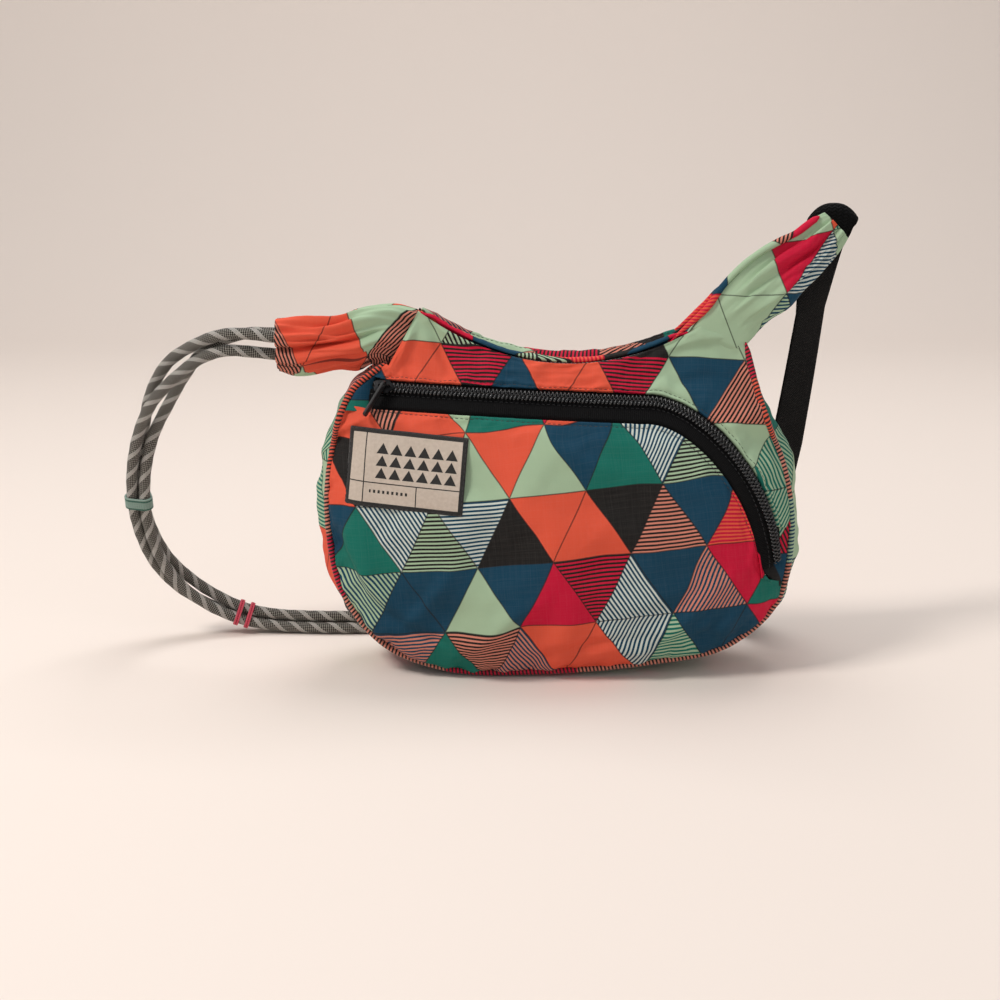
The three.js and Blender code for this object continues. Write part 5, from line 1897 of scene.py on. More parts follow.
@dataclass
class BackWall:
    """The back panel, in one piece from the mouth to the seam."""

    finishes: Finishes
    fabric: float = 1.6
    rows: int = 96
    folds: tuple[Fold, ...] = (
        Fold(((-110, 190), (-60, 160), (0, 150)), 3.5, 8.6),
        Fold(((-130, 90), (-90, 60), (-40, 50)), 3.8, 7.9, 0.3),
        Fold(((30, 60), (80, 80), (125, 120)), -3.5, 6.5),
        Fold(((40, 190), (80, 160), (120, 150)), 3.2, 7.2),
        Fold(((-20, 30), (30, 40), (90, 38)), 2.9, 6.5),
    )

    def build(self) -> None:
        """Makes the panel and its topstitching."""
        body = BODY
        top_left, top_right = body.seam_end(0.0), body.seam_end(1.0)
        s = np.linspace(0, 1, 24, endpoint=False)[:, None]
        lip_left, lip_right = body.lip_point(body.mouth_left), body.lip_point(body.mouth_right)
        angle = np.linspace(body.mouth_left, body.mouth_right, 120, endpoint=False)
        upper = np.vstack(
            [
                top_left + (lip_left - top_left) * s,
                body.lip_point(angle),
                lip_right + (top_right - lip_right) * np.linspace(0, 1, 25)[:, None],
            ]
        )
        shares = 0.03 + 0.94 * np.linspace(0, 1, len(upper))
        lower = body.beside_seam(body.seam_inset - SEWN_UNDER, shares)
        grid = between(upper, lower, close_steps(self.rows))
        cloth = Cloth(body.face(grid, BACK), turn=0.21, shift=(9, 4), seed=3)
        cloth.drape(rows=40, columns=90, slack=0.035, height=3.6, seed=7)
        cloth.fold(self.folds)
        cloth.pull_print(far=3.0, pitch=26, reach=24, seed=105)
        cloth.pucker("bottom", height=1.9, pitch=9.0, reach=13, seed=41)
        cloth.pucker("top", height=1.0, pitch=8.0, reach=10, seed=42)
        cloth.groove("bottom", at=3.0)
        cloth.round_edge("bottom", radius=1.4)
        cloth.round_edge("top", radius=1.2)
        Dressed(self.finishes.print_, "petrol_print").wear(
            cloth.piece("back_cloth", self.fabric), "back_panel"
        )
        self.finishes.topstitch("back_topstitch", cloth, "bottom", 3.0)


@dataclass
class GussetAndPiping:
    """The strip round the sides and base, and the striped piping in its two seams."""

    finishes: Finishes
    fabric: float = 1.6
    rows: int = 40
    columns: int = 360

    def gusset(self) -> None:
        """Makes the gusset, swollen between its seams and pleated across its width."""
        body = BODY
        u = np.linspace(0, 1, self.columns + 1)
        t = close_steps(self.rows, 0.5)
        here = body.seam.at(u)
        swell = body.gusset_bulge * np.minimum(1, np.minimum(9 * u, 9 * (1 - u)))
        front = -body.depth(here[:, 0], here[:, 1], body.belly_front) + body.seam_inset - SEWN_UNDER
        back = body.depth(here[:, 0], here[:, 1], body.belly_back) - body.seam_inset + SEWN_UNDER
        bulge = -swell[None] * np.sin(np.pi * t)[:, None]
        out = body.beside_seam(bulge, np.broadcast_to(u, (len(t), len(u))))
        y = front[None] + (back - front)[None] * t[:, None]
        points = np.stack([out[..., 0], y, np.maximum(out[..., 1], 0)], -1)
        run = np.broadcast_to(u * body.seam.length, y.shape)
        cloth = Cloth(points, turn=0.5, shift=(3, 12), seed=4)
        cloth.places = np.stack([run, y], -1)
        ripple = Ripple(51)
        free = smooth_step(out[..., 1], 3, 22) * np.sin(np.pi * t)[:, None] ** 0.5
        wave = ripple.at(run / 17, y / 60) + 0.5 * ripple.at(run / 7 + 3, y / 34)
        cloth.raise_by((1.9 * wave - 0.5) * free)
        for edge, seed in (("top", 52), ("bottom", 53)):
            far, along = cloth.edge(edge)
            gather = Ripple(seed).at(along / 6.5, far / 40) * np.exp(-far / 9)
            cloth.raise_by(1.1 * gather * smooth_step(out[..., 1], 2, 14))
            cloth.groove(edge, at=2.4, depth=0.35)
        cloth.points[..., 2] = np.maximum(cloth.points[..., 2], 0.05)
        Dressed(self.finishes.print_, "petrol_print").wear(
            cloth.piece("gusset_cloth", self.fabric), "gusset"
        )

    def piping(self, side: float, name: str, node: str) -> None:
        """Makes one striped piping cord along a seam.

        Args:
            side: FRONT or BACK.
            name: The piece's name.
            node: The CAD node that it stands for.
        """
        seam = BODY.face(BODY.seam.at(np.linspace(0, 1, 620)), side)
        route = Line(seam).at(np.linspace(0, 1, 760))
        sweep = Sweep(route, DEPTHWISE)
        run = sweep.run
        ends = smooth_step(np.minimum(run, run[-1] - run), -4, 9)
        fat = BODY.piping_radius * (0.98 + 0.05 * Ripple(61).at(run / 5, 0 * run)) * ends
        section = round_section(1.0, 14)[None] * fat[:, None, None]
        Dressed(self.finishes.piping, "striped_piping").wear(sweep.piece(name, section), node)

    def build(self) -> None:
        """Makes the gusset and both pipings."""
        self.gusset()
        self.piping(FRONT, "front_striped_piping", "front_piping")
        self.piping(BACK, "back_striped_piping", "back_piping")


@dataclass
class MouthHems:
    """The bound edges on both sides of the mouth."""

    finishes: Finishes
    rise: float = 4.0
    cloth: float = 1.2
    inner_edge: float = 6.0
    rows: int = 22
    columns: int = 260

    def hem(self, side: float, name: str, node: str, seed: int) -> None:
        """Makes one hem, rolled over towards the zip.

        Args:
            side: FRONT or BACK.
            name: The piece's name.
            node: The CAD node that it stands for.
            seed: Chooses its waves and its part of the print.
        """
        body = BODY
        share = np.linspace(0, 1, self.columns + 1)
        first, last = 0.985 * body.mouth_left, 0.895 * body.mouth_right
        angle = first + (last - first) * share
        t = np.linspace(0, 1, self.rows + 1)[:, None]
        lip = body.mouth_point(angle, body.mouth_radius)
        depth = body.depth(lip[:, 0], lip[:, 1], body.belly(side))
        lift = self.rise * np.sin(np.pi * (0.12 + 0.8 * t)) - 2.2 * t
        lift = lift * smooth_step(np.minimum(share, 1 - share), -0.01, 0.06) + 0 * t
        flat = body.mouth_point(np.broadcast_to(angle, (len(t), len(angle))), body.mouth_radius - lift)
        y = side * (depth[None] * (1 - t) + self.inner_edge * t)
        points = np.stack([flat[..., 0], y, flat[..., 1]], -1)
        run = np.broadcast_to((angle - angle[0]) * body.mouth_radius, y.shape)
        cloth = Cloth(points, inside=(0.0, 0.0, 150.0), turn=0.4, shift=(seed, 3), seed=seed)
        cloth.places = np.stack([run, t * 15 + 0 * run], -1)
        wave = Ripple(seed + 70).at(run / 8, t * 2) + 0.6 * Ripple(seed + 71).at(run / 3.5, t)
        cloth.raise_by(0.55 * wave * np.sin(np.pi * t) ** 0.5)
        cloth.groove("top", at=5.2, depth=0.4, width=0.8)
        cloth.round_edge("top", radius=1.0)
        Dressed(self.finishes.print_, "coral_print").wear(cloth.piece(name, self.cloth), node)
        self.finishes.topstitch(name + "_stitching", cloth, "top", 5.2, 0.26)

    def build(self) -> None:
        """Makes both hems."""
        self.hem(FRONT, "front_mouth_hem", "front_hem", 5)
        self.hem(BACK, "back_mouth_hem", "back_hem", 6)


@dataclass
class Sleeves:
    """The cloth gathered round the strap's ends at the bag's two top corners."""

    finishes: Finishes
    ring_points: int = 160
    steps: int = 170
    recess: float = 9.0
    left_length: float = 96.0
    left_girth: float = 118.0
    right_length: float = 130.0

    @cached_property
    def corners(self) -> tuple[Array, Array, Array, Array]:
        """The lip's two corners and the seam's two ends."""
        lips = [BODY.lip_point(angle) for angle in (BODY.mouth_left, BODY.mouth_right)]
        return (*lips, BODY.seam_end(0.0), BODY.seam_end(1.0))

    def left_stations(self) -> Array:
        """Measures the left sleeve at its stations.

        Returns:
            Top x, top z, bottom x, bottom z and half thickness at each.
        """
        lip, _, seam, _ = self.corners
        offsets = np.array(
            [
                (-1, 0.5, -1, -3, 10),
                (-16, 4, -11, 0.5, 14),
                (-38, 1, -22, -4, 14),
                (-55, -4.5, -37, -3, 12.5),
                (-79, -4.5, -60, -7, 14),
                (-94, -5.5, -74, -4, 16.6),
            ]
        )
        return offsets + [*lip, *seam, 0]

    def right_stations(self) -> Array:
        """Measures the right sleeve at its stations.

        Returns:
            Top x, top z, bottom x, bottom z and half thickness at each.
        """
        _, lip, _, seam = self.corners
        offsets = np.array(
            [
                (-9, -7, -5, -10, 10),
                (10, 20, 17, 11, 14),
                (29, 39, 32, 21, 14.5),
                (48, 51, 43, 35, 12.5),
                (64, 59, 54, 47, 9.5),
                (76, 67, 64, 62, 7.4),
                (82, 70, 68, 69, 6),
            ]
        )
        return offsets + [*lip, *seam, 0]

    def rings(self, stations: Array, crease: float) -> tuple[Array, Array, Array]:
        """Makes rings of points along a sleeve.

        Args:
            stations: Its stations.
            crease: How far its back is pressed in, as a share of its thickness.
        Returns:
            The rings, and the angle and the share of the sleeve of each point.
        """
        spaced = np.column_stack([np.arange(len(stations)) * 12.0, stations])
        smooth = Line(smooth_line(spaced, 24, even=True))
        share = np.linspace(0, 1, self.steps + 1)
        read = smooth.at(share)[:, 1:]
        angle = np.linspace(0, 2 * np.pi, self.ring_points, endpoint=False)
        up = np.cos(angle)[None]
        dent = 1 - crease * np.exp(-((up / 0.3) ** 2)) * (np.sin(angle) > 0)
        top_x, top_z, low_x, low_z, half = (read[:, k : k + 1] for k in range(5))
        points = np.stack(
            [
                (top_x + low_x) / 2 + (top_x - low_x) / 2 * up,
                -np.sin(angle)[None] * half * dent,
                (top_z + low_z) / 2 + (top_z - low_z) / 2 * up,
            ],
            -1,
        )
        size = points.shape[:2]
        return points, np.broadcast_to(angle, size), np.broadcast_to(share[:, None], size)

    def skin(
        self, name: str, points: Array, places: Array, node: str, finish: bpy.types.Material
    ) -> None:
        """Makes a closed skin over rings, with its cloth places.

        Args:
            name: The piece's name.
            points: The rings.
            places: The cloth places of their points, one column more than the rings have.
            node: The CAD node that it stands for.
            finish: Its cloth's finish.
        """
        count, sides = points.shape[:2]
        faces, i, j = tube_faces(count, sides)
        corner = np.stack([places[i + di, j + dj] for di, dj in ((0, 0), (0, 1), (1, 1), (1, 0))], 1)
        flat = points.reshape(-1, 3)
        first = flat[faces[0]]
        out = np.cross(first[1] - first[0], first[3] - first[0])
        ends = cap_faces(count, sides)
        if np.dot(out, first[0] - points[0].mean(0)) < 0:
            faces, corner = faces[:, ::-1], corner[:, ::-1]
            ends = [face[::-1] for face in ends]
        caps = places[:, :sides].reshape(-1, 3)[np.concatenate(ends)]
        piece = new_piece(name, flat, faces.tolist() + ends)
        set_places(piece, "cloth_place", np.concatenate([corner.reshape(-1, 3), caps]), "CORNER")
        Dressed(finish, "mint_print").wear(piece, node)

    def gathers(
        self, points: Array, angle: Array, run: Array, height: Array, seed: int, count: float
    ) -> Array:
        """Presses long wrinkles into a sleeve.

        Args:
            points: Its rings.
            angle: The angle of each point.
            run: How far along the sleeve each point lies.
            height: How high the wrinkles are there.
            seed: Chooses them.
            count: About how many lie round it.
        Returns:
            The wrinkled rings.
        """
        centre = points.mean(1, keepdims=True)
        out = unit(points - centre)
        x, y = np.cos(angle) * count / 3, np.sin(angle) * count / 3
        ripple = Ripple(seed)
        wave = ripple.at(x * 1.6 + run / 55, y * 1.6 + 7)
        wave = wave + 0.55 * ripple.at(x * 3.3 + 4, y * 3.3 + run / 26)
        sharp = np.sign(wave) * np.abs(wave) ** 0.8
        return points + out * (height * sharp)[..., None]

    def wrapped(self, points: Array, seed: int, middle: float) -> Array:
        """Cloth places that run on from a panel's, laid round the sleeve from its middle.

        Args:
            points: The rings.
            seed: The print's seed.
            middle: Which share of a ring the wrapping is centred on.
        Returns:
            Places with the closing column.
        """
        sides = points.shape[1]
        closed = np.concatenate([points, points[:, :1]], 1)
        steps = np.linalg.norm(np.diff(closed, axis=1), axis=-1)
        around = np.concatenate([np.zeros((len(points), 1)), np.cumsum(steps, 1)], 1)
        start = around[:, round(middle * sides)][:, None]
        across = points[:, 0] - points[:, sides // 2]
        across = unit(across[:, [0, 2]])[:, None]
        centre = points[:, round(middle * sides)][:, None][..., [0, 2]]
        flat = centre - 1.12 * (around - start)[..., None] * across
        places = BODY.cloth_place(flat[..., 0], flat[..., 1])
        return in_print(places, UPPER_PRINT.turn, UPPER_PRINT.shift, seed)

    def left(self) -> None:
        """Makes the left sleeve, tucked behind the front panel and open at its end."""
        points, angle, share = self.rings(self.left_stations(), 0.0)
        run = share * self.left_length
        up = np.cos(angle)
        front = smooth_step(np.sin(angle), 0.0, 0.4)
        crease = np.exp(-(((up - 0.25 + 0.35 * share) / 0.13) ** 2)) * front * smooth_step(share, 0.12, 0.4)
        puff = np.exp(-(((up - 0.62) / 0.4) ** 2) - ((share - 0.3) / 0.2) ** 2) * front
        centre = points.mean(1, keepdims=True)
        points = points - unit(points - centre) * (6.2 * crease - 2.8 * puff)[..., None]
        points = self.gathers(points, angle, run, 1.8 + 2.4 * np.sin(np.pi * share), 81, 7)
        end = points[-1].mean(0)
        back = unit(points[-4].mean(0) - end)
        turned_in = ((0.94, 0.0), (0.86, 1.5), (0.83, self.recess))
        mouth = [end + (points[-1] - end) * k + back * far for k, far in turned_in]
        start = points[0].mean(0)
        ahead = unit(points[3].mean(0) - start)
        tucked = ((0.88, 6.0), (0.96, 3.0))
        tuck = [start + (points[0] - start) * [k, 0.7, k] - ahead * far for k, far in tucked]
        points = np.concatenate([tuck, points, mouth])
        sides = self.ring_points
        around = np.arange(sides + 1) / sides * self.left_girth
        sleeve = np.linspace(0, self.left_length, self.steps + 1)
        run = np.concatenate([[-9, -4], sleeve, self.left_length + np.array([2, 4, 12])])
        places = np.stack(np.broadcast_arrays(run[:, None], around[None], 7.0), -1)
        self.skin("left_gathered_sleeve", points, places, "left_sleeve", self.finishes.sleeve_print)

    def right(self) -> None:
        """Makes the right sleeve, which runs on from the panels to the tip under the webbing."""
        points, angle, share = self.rings(self.right_stations(), 0.12)
        run = share * self.right_length
        square = 1 - smooth_step(share, 0.1, 0.34)
        x, z = points[..., 0], points[..., 2]
        front, back = BODY.depth(x, z, BODY.belly_front), BODY.depth(x, z, BODY.belly_back)
        depth = np.where(np.sin(angle) > 0, front, back)
        depth = depth - 1.5 + 2.9 * smooth_step(share, 0.01, 0.075)
        boxy = -np.sign(np.sin(angle)) * depth * np.abs(np.sin(angle)) ** 0.15
        points[..., 1] = points[..., 1] * (1 - square) + boxy * square
        wrinkled = self.gathers(points, angle, run, 3.0 * smooth_step(share, 0.12, 0.4), 82, 6)
        start = wrinkled[0].mean(0)
        ahead = unit(wrinkled[3].mean(0) - start)
        points = np.concatenate([(wrinkled[0] - ahead * 3.0)[None], wrinkled])
        places = self.wrapped(points, 2, 0.25)
        self.skin("right_gathered_sleeve", points, places, "right_sleeve", self.finishes.print_)
        self.strip("horn_front_edge", wrinkled, FRONT)
        self.strip("horn_back_edge", wrinkled, BACK)

    def strip(self, name: str, rings: Array, side: float) -> None:
        """Makes the bound edge that runs on from a hem along the horn's top.

        Args:
            name: The piece's name.
            rings: The sleeve's rings.
            side: FRONT or BACK.
        """
        hem = BODY.mouth_point(np.array([0.76, 0.83, 0.9]) * BODY.mouth_right, BODY.mouth_radius - 3.6)
        low = np.stack([hem[:, 0], side * np.array([12.0, 9.5, 7.5]), hem[:, 1] - [5.6, 3.0, 1.2]], -1)
        turn = round(-side * self.ring_points * 0.055)
        last = round(len(rings) * 0.93)
        high = rings[np.linspace(last * 0.2, last, 9).astype(int), turn] + [-0.6, -0.6, 0.6]
        route = Line(smooth_line(np.concatenate([low, high]), 16))
        path = route.at(np.linspace(0, 1, 260))
        sweep = Sweep(path, DEPTHWISE)
        run = sweep.run
        fat = 1 + 0.12 * Ripple(83).at(run / 9, 0 * run)
        ends = np.minimum(1, np.minimum(run / 30, (run[-1] - run) / 4)) ** 0.6
        section = round_section(1.0, 20)[None] * [3.1, 2.3] * (fat * np.maximum(ends, 0.06))[:, None, None]
        piece = sweep.piece(name, section)
        sheath = np.stack(np.broadcast_arrays(run[:, None], np.linspace(0, 17, 20)[None], 9.0), -1)
        set_places(piece, "cloth_place", sheath.reshape(-1, 3))
        Dressed(self.finishes.print_, "coral_print").wear(piece)

    def build(self) -> None:
        """Makes both sleeves."""
        self.left()
        self.right()


@dataclass
class Zips:
    """Both zips: coiled teeth and woven tapes."""

    finishes: Finishes
    mouth_reach: float = math.radians(29)
    mouth_drop: float = 4.0

    def mouth_frames(self, angle: Array) -> tuple[Array, Array, Array]:
        """Finds places on the mouth's zip, which bends about the mouth's centre.

        Args:
            angle: Angles along it.
        Returns:
            Points, and the directions across the zip and up.
        """
        flat = BODY.mouth_point(angle, BODY.mouth_radius + self.mouth_drop)
        zero = np.zeros(len(angle))
        p = np.stack([flat[:, 0], zero, flat[:, 1]], -1)
        up = np.stack([-np.sin(angle), zero, np.cos(angle)], -1)
        return p, np.broadcast_to(DEPTHWISE, p.shape), up

    def coil(self, name: str, node: str, frames: tuple[Array, ...], length: float, hand: int) -> None:
        """Winds one row of coiled teeth.

        Args:
            name: The piece's name.
            node: The CAD node that it stands for.
            frames: The zip's middle line, with its directions.
            length: How long that is.
            hand: 1 or -1, the side of it that the row is on.
        """
        p, side, up = frames
        turns = length / ZIP.pitch
        turn = np.linspace(0, 2 * np.pi * turns, len(p)) + (np.pi if hand < 0 else 0)
        flat = np.sin(turn)
        inner, outer = ZIP.wire - 0.5, ZIP.split / 2 + ZIP.row
        across = hand * ((inner + outer) / 2 + (outer - inner) / 2 * np.cos(turn))
        swing = (ZIP.coil / 2 - ZIP.wire) * np.sign(flat) * np.abs(flat) ** 0.7
        high = ZIP.rise + 0.9 - ZIP.coil / 2 + swing
        path = p + side * across[:, None] + up * high[:, None]
        hint = side * np.cos(turn)[:, None] + up * np.sin(turn)[:, None]
        piece = Sweep(path, hint).piece(name, round_section(ZIP.wire, 7))
        Dressed(self.finishes.coil, "zip_teeth").wear(piece, node)

    def pocket_tape(
        self, name: str, node: str, start: float, end: float, hand: int, reach: float, seed: int
    ) -> None:
        """Makes one of the pocket zip's tapes, the lower one with a line of stitches.

        Args:
            name: The piece's name.
            node: The CAD node that it stands for.
            start: Where it starts along the zip.
            end: Where it ends.
            hand: 1 for the upper one, -1 for the lower one.
            reach: Its far edge, from the zip's middle line.
            seed: Chooses its waves.
        """
        size = (26, 420)
        u = np.linspace(start, end, size[1])
        offset = hand * np.linspace(ZIP.split / 2 + 0.1, reach, size[0])
        flat = ZIP_PATH.beside(np.broadcast_to(offset[:, None], size), np.broadcast_to(u, size))
        sunk = np.full(size, -ZIP.tape_top)
        if hand < 0:
            shown = smooth_step(-offset, 3.2, 6.0) * (1 - smooth_step(-offset, 11.0, 13.5))
            sunk = sunk - 1.5 * shown[:, None] * (1 - smooth_step(u, end - 70, end - 30))
        cloth = Cloth(BODY.face(flat, FRONT, sunk))
        cloth.places = np.stack(np.broadcast_arrays(u[None, :], np.abs(offset)[:, None]), -1)
        wave = Ripple(seed).at(u[None] / 12, offset[:, None] / 9)
        cloth.raise_by(0.28 * wave * smooth_step(np.abs(offset), 3, 6)[:, None])
        Dressed(self.finishes.tape, "zip_tape").wear(cloth.piece(name, ZIP.tape), node)
        if hand < 0:
            self.finishes.topstitch(name + "_stitching", cloth, "top", 4.6 - ZIP.split / 2, 0.24)

    def mouth_tape(self, name: str, node: str, hand: int) -> None:
        """Makes one of the mouth zip's tapes.

        Args:
            name: The piece's name.
            node: The CAD node that it stands for.
            hand: -1 for the front one, 1 for the back one.
        """
        angle = np.linspace(-self.mouth_reach, self.mouth_reach, 180)
        p, side, up = self.mouth_frames(angle)
        offset = hand * np.linspace(ZIP.split / 2, 6.65, 14)
        points = p[None] + side[None] * offset[:, None, None] + up[None] * ZIP.tape_top
        cloth = Cloth(points)
        run = (angle * BODY.mouth_radius)[None]
        cloth.places = np.stack(np.broadcast_arrays(run, np.abs(offset)[:, None]), -1)
        Dressed(self.finishes.tape, "zip_tape").wear(cloth.piece(name, ZIP.tape), node)

    def build(self) -> None:
        """Makes the rows of teeth and the tapes."""
        reach = ZIP_PATH.line.length - 7
        frames = ZIP_PATH.frames(np.linspace(4, reach, 2300))
        self.coil("pocket_coil_upper", "pocket_zip_teeth_upper", frames, reach - 4, 1)
        self.coil("pocket_coil_lower", "pocket_zip_teeth_lower", frames, reach - 4, -1)
        length = ZIP_PATH.line.length
        upper, lower = ZIP.upper_edge + 2.2, ZIP.lower_edge + 3.2
        self.pocket_tape("pocket_tape_upper", "pocket_zip_tape_upper", 2, length - 6, 1, upper, 91)
        self.pocket_tape("pocket_tape_lower", "pocket_zip_tape_lower", 1, length - 3, -1, lower, 92)
        angle = np.linspace(-self.mouth_reach, self.mouth_reach, 1200)
        mouth = self.mouth_frames(angle)
        arc = 2 * self.mouth_reach * BODY.mouth_radius
        self.coil("mouth_coil_front", "main_zip_teeth_front", mouth, arc, -1)
        self.coil("mouth_coil_back", "main_zip_teeth_back", mouth, arc, 1)
        self.mouth_tape("mouth_tape_front", "main_zip_tape_front", -1)
        self.mouth_tape("mouth_tape_back", "main_zip_tape_back", 1)


@dataclass
class Hardware:
    """Sliders, pulls, ring and adjuster: the solids' own form with worn, rounded edges."""

    finishes: Finishes

    def rounded(
        self, node: str, name: str, finish: bpy.types.Material, slot: str, body: str, width: float
    ) -> None:
        """Makes a copy of a solid with its edges rounded.

        Args:
            node: The CAD node.
            name: The piece's name.
            finish: Its finish.
            slot: A name for its material slot, which is stored and not applied.
            body: The body that it rides on.
            width: How much of an edge is rounded.
        """
        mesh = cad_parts[node].data.copy()
        piece = bpy.data.objects.new(name, mesh)
        bpy.context.scene.collection.objects.link(piece)
        weld = piece.modifiers.new("weld", "WELD")
        weld.merge_threshold = 0.00001
        bevel = piece.modifiers.new("rounding", "BEVEL")
        bevel.width = width * MM
        bevel.segments = 3
        bevel.limit_method = "ANGLE"
        bevel.angle_limit = math.radians(32)
        bevel.harden_normals = True
        mesh.polygons.foreach_set("use_smooth", [True] * len(mesh.polygons))
        Dressed(finish, slot, body).wear(piece, node)

    def build(self) -> None:
        """Makes every hard piece."""
        f = self.finishes
        for node, name, finish, slot, body, width in (
            ("pocket_zip_slider", "pocket_slider_cast", f.metal, "coated_metal", "pocket_slider", 0.22),
            ("main_zip_slider", "mouth_slider_cast", f.metal, "coated_metal", "main_slider", 0.22),
            ("pocket_zip_pull", "pocket_pull_tab", f.tab, "pull_tab", "pocket_pull", 0.3),
            ("main_zip_pull", "mouth_pull_plate", f.metal, "coated_metal", "main_pull", 0.25),
            ("strap_ring", "strap_wire_ring", f.metal, "coated_metal", "bag", 0.2),
            ("strap_adjuster", "strap_slide", f.plastic, "moulded_plastic", "adjuster", 0.5),
        ):
            self.rounded(node, name, finish, slot, body, width)


@dataclass
class WebbingStrap:
    """The webbing from the ring to the right sleeve, the loop on the ropes and the sewn tail."""

    finishes: Finishes
    width: float = 38.0
    thickness: float = 1.5
    strap_y: float = 63.5
    loop_start: float = -93.3
    loop_width: float = 34.0
    ring_wire: float = 1.6
    ring_gap: float = 13.0
    ring_z: float = 7.4
    clearance: float = 0.35
    adjuster_x: float = 8.0
    bar: float = 2.4
    line: tuple[tuple[float, ...], ...] = (
        (30, 63.5, 4.45, 90),
        (70, 63.5, 4.45, 90),
        (104, 63.5, 4.45, 90),
        (126, 63.5, 5.6, 89),
        (140, 62, 13, 85),
        (147.5, 60, 28, 76),
        (152, 54.5, 58, 62),
        (156.5, 51, 98, 50),
        (161.5, 46, 140, 44),
        (167, 39.5, 190, 47),
        (171.5, 32.5, 238, 50),
        (175.5, 26, 280, 32),
        (178, 22.5, 299, 12),
        (179.5, 19.5, 307, 4),
        (180, 15, 310, 2),
        (180, 11, 307, 2),
        (179.6, 9.6, 300, 2),
        (178.5, 9.4, 289, 2),
    )

    @property
    def eye_x(self) -> float:
        """The middle of the loop's eye."""
        return self.loop_start + 33

    @property
    def ring_far_x(self) -> float:
        """The ring's far wire."""
        return self.eye_x + self.ring_gap

    @property
    def turn_radius(self) -> float:
        """The webbing's middle round the ring's wire."""
        return self.ring_wire + 0.6 + self.thickness / 2

    @property
    def tail_z(self) -> float:
        """The tail's middle."""
        return self.ring_z + self.turn_radius

    @property
    def bar_z(self) -> float:
        """The adjuster's middle bar."""
        standing = self.ring_z - self.turn_radius
        return standing + self.thickness / 2 + 2 * self.clearance + self.thickness + self.bar / 2

    def ribbon(
        self,
        name: str,
        path: Array,
        side: Array,
        width: Array | float,
        thick: float,
        cup: Array | float = 0.0,
    ) -> bpy.types.Object:
        """Makes a flat band along a path, a little thinner at its edges.

        Args:
            name: The piece's name.
            path: The band's middle line.
            side: The direction of its width, at each point.
            width: Its width.
            thick: Its thickness.
            cup: How far its edges hang down below its middle.
        Returns:
            The band.
        """
        ahead = unit(np.gradient(path, axis=0))
        side = unit(side - np.sum(side * ahead, -1, keepdims=True) * ahead)
        up = np.cross(side, ahead)
        across = np.linspace(-1, 1, 23)
        half = thick / 2 * (1 - 0.3 * np.abs(across) ** 8)
        wide = across[:, None] * width / 2 + 0 * path[None, :, 0]
        grid = path[None] + wide[..., None] * side[None] + half[:, None, None] * up[None]
        grid[..., 2] -= np.abs(across[:, None]) ** 2.5 * cup
        columns = grid.shape[1]
        under = grid - 2 * half[:, None, None] * up[None]
        ring = np.concatenate([grid, under[::-1]])
        sides = len(ring)
        points = ring.transpose(1, 0, 2).reshape(-1, 3)
        faces = tube_faces(columns, sides)[0].tolist() + cap_faces(columns, sides)
        piece = new_piece(name, points, faces)
        wide = np.concatenate([wide, wide[::-1]]).T
        places = np.stack(np.broadcast_arrays(run_along(path)[:, None], wide, 0.0), -1)
        set_places(piece, "cloth_place", places.reshape(-1, 3))
        return piece

    def strap(self) -> None:
        """Makes the long webbing, over the ring and up to the right sleeve's tip."""
        angle = np.linspace(0.5 * np.pi, 1.5 * np.pi, 9)
        r = self.turn_radius
        stations = [(self.ring_far_x + 5 - self.clearance, self.strap_y, self.tail_z, 90)]
        stations += [
            (self.ring_far_x + r * math.cos(a), self.strap_y, self.ring_z + r * math.sin(a), 90)
            for a in angle
        ]
        stations += [(self.ring_far_x + 12, self.strap_y, self.ring_z - r, 90), *self.line]
        steps = 16
        path = smooth_line([s[:3] for s in stations], steps)
        number = np.arange(len(path)) / steps
        turn = np.radians(np.interp(number, np.arange(len(stations)), [s[3] for s in stations]))
        side = np.stack([np.cos(turn), np.sin(turn), 0 * turn], -1)
        route = Line(path)
        share = np.linspace(0, 1, 520)
        at = np.interp(share, route.lengths / route.length, np.arange(len(path)))
        side = np.stack([np.interp(at, np.arange(len(path)), side[:, k]) for k in range(3)], -1)
        middle = route.at(share)
        over = smooth_step(middle[:, 2], 278, 304)
        tucked = smooth_step(share * route.length, route.length - 24, route.length)
        width = self.width * (1 - 0.14 * over) * (1 - 0.5 * tucked)
        cup = 9.0 * over * (1 - 0.8 * tucked)
        piece = self.ribbon("strap_webbing_band", middle, unit(side), width, self.thickness, cup)
        Dressed(self.finishes.webbing, "webbing").wear(piece, "webbing_strap")

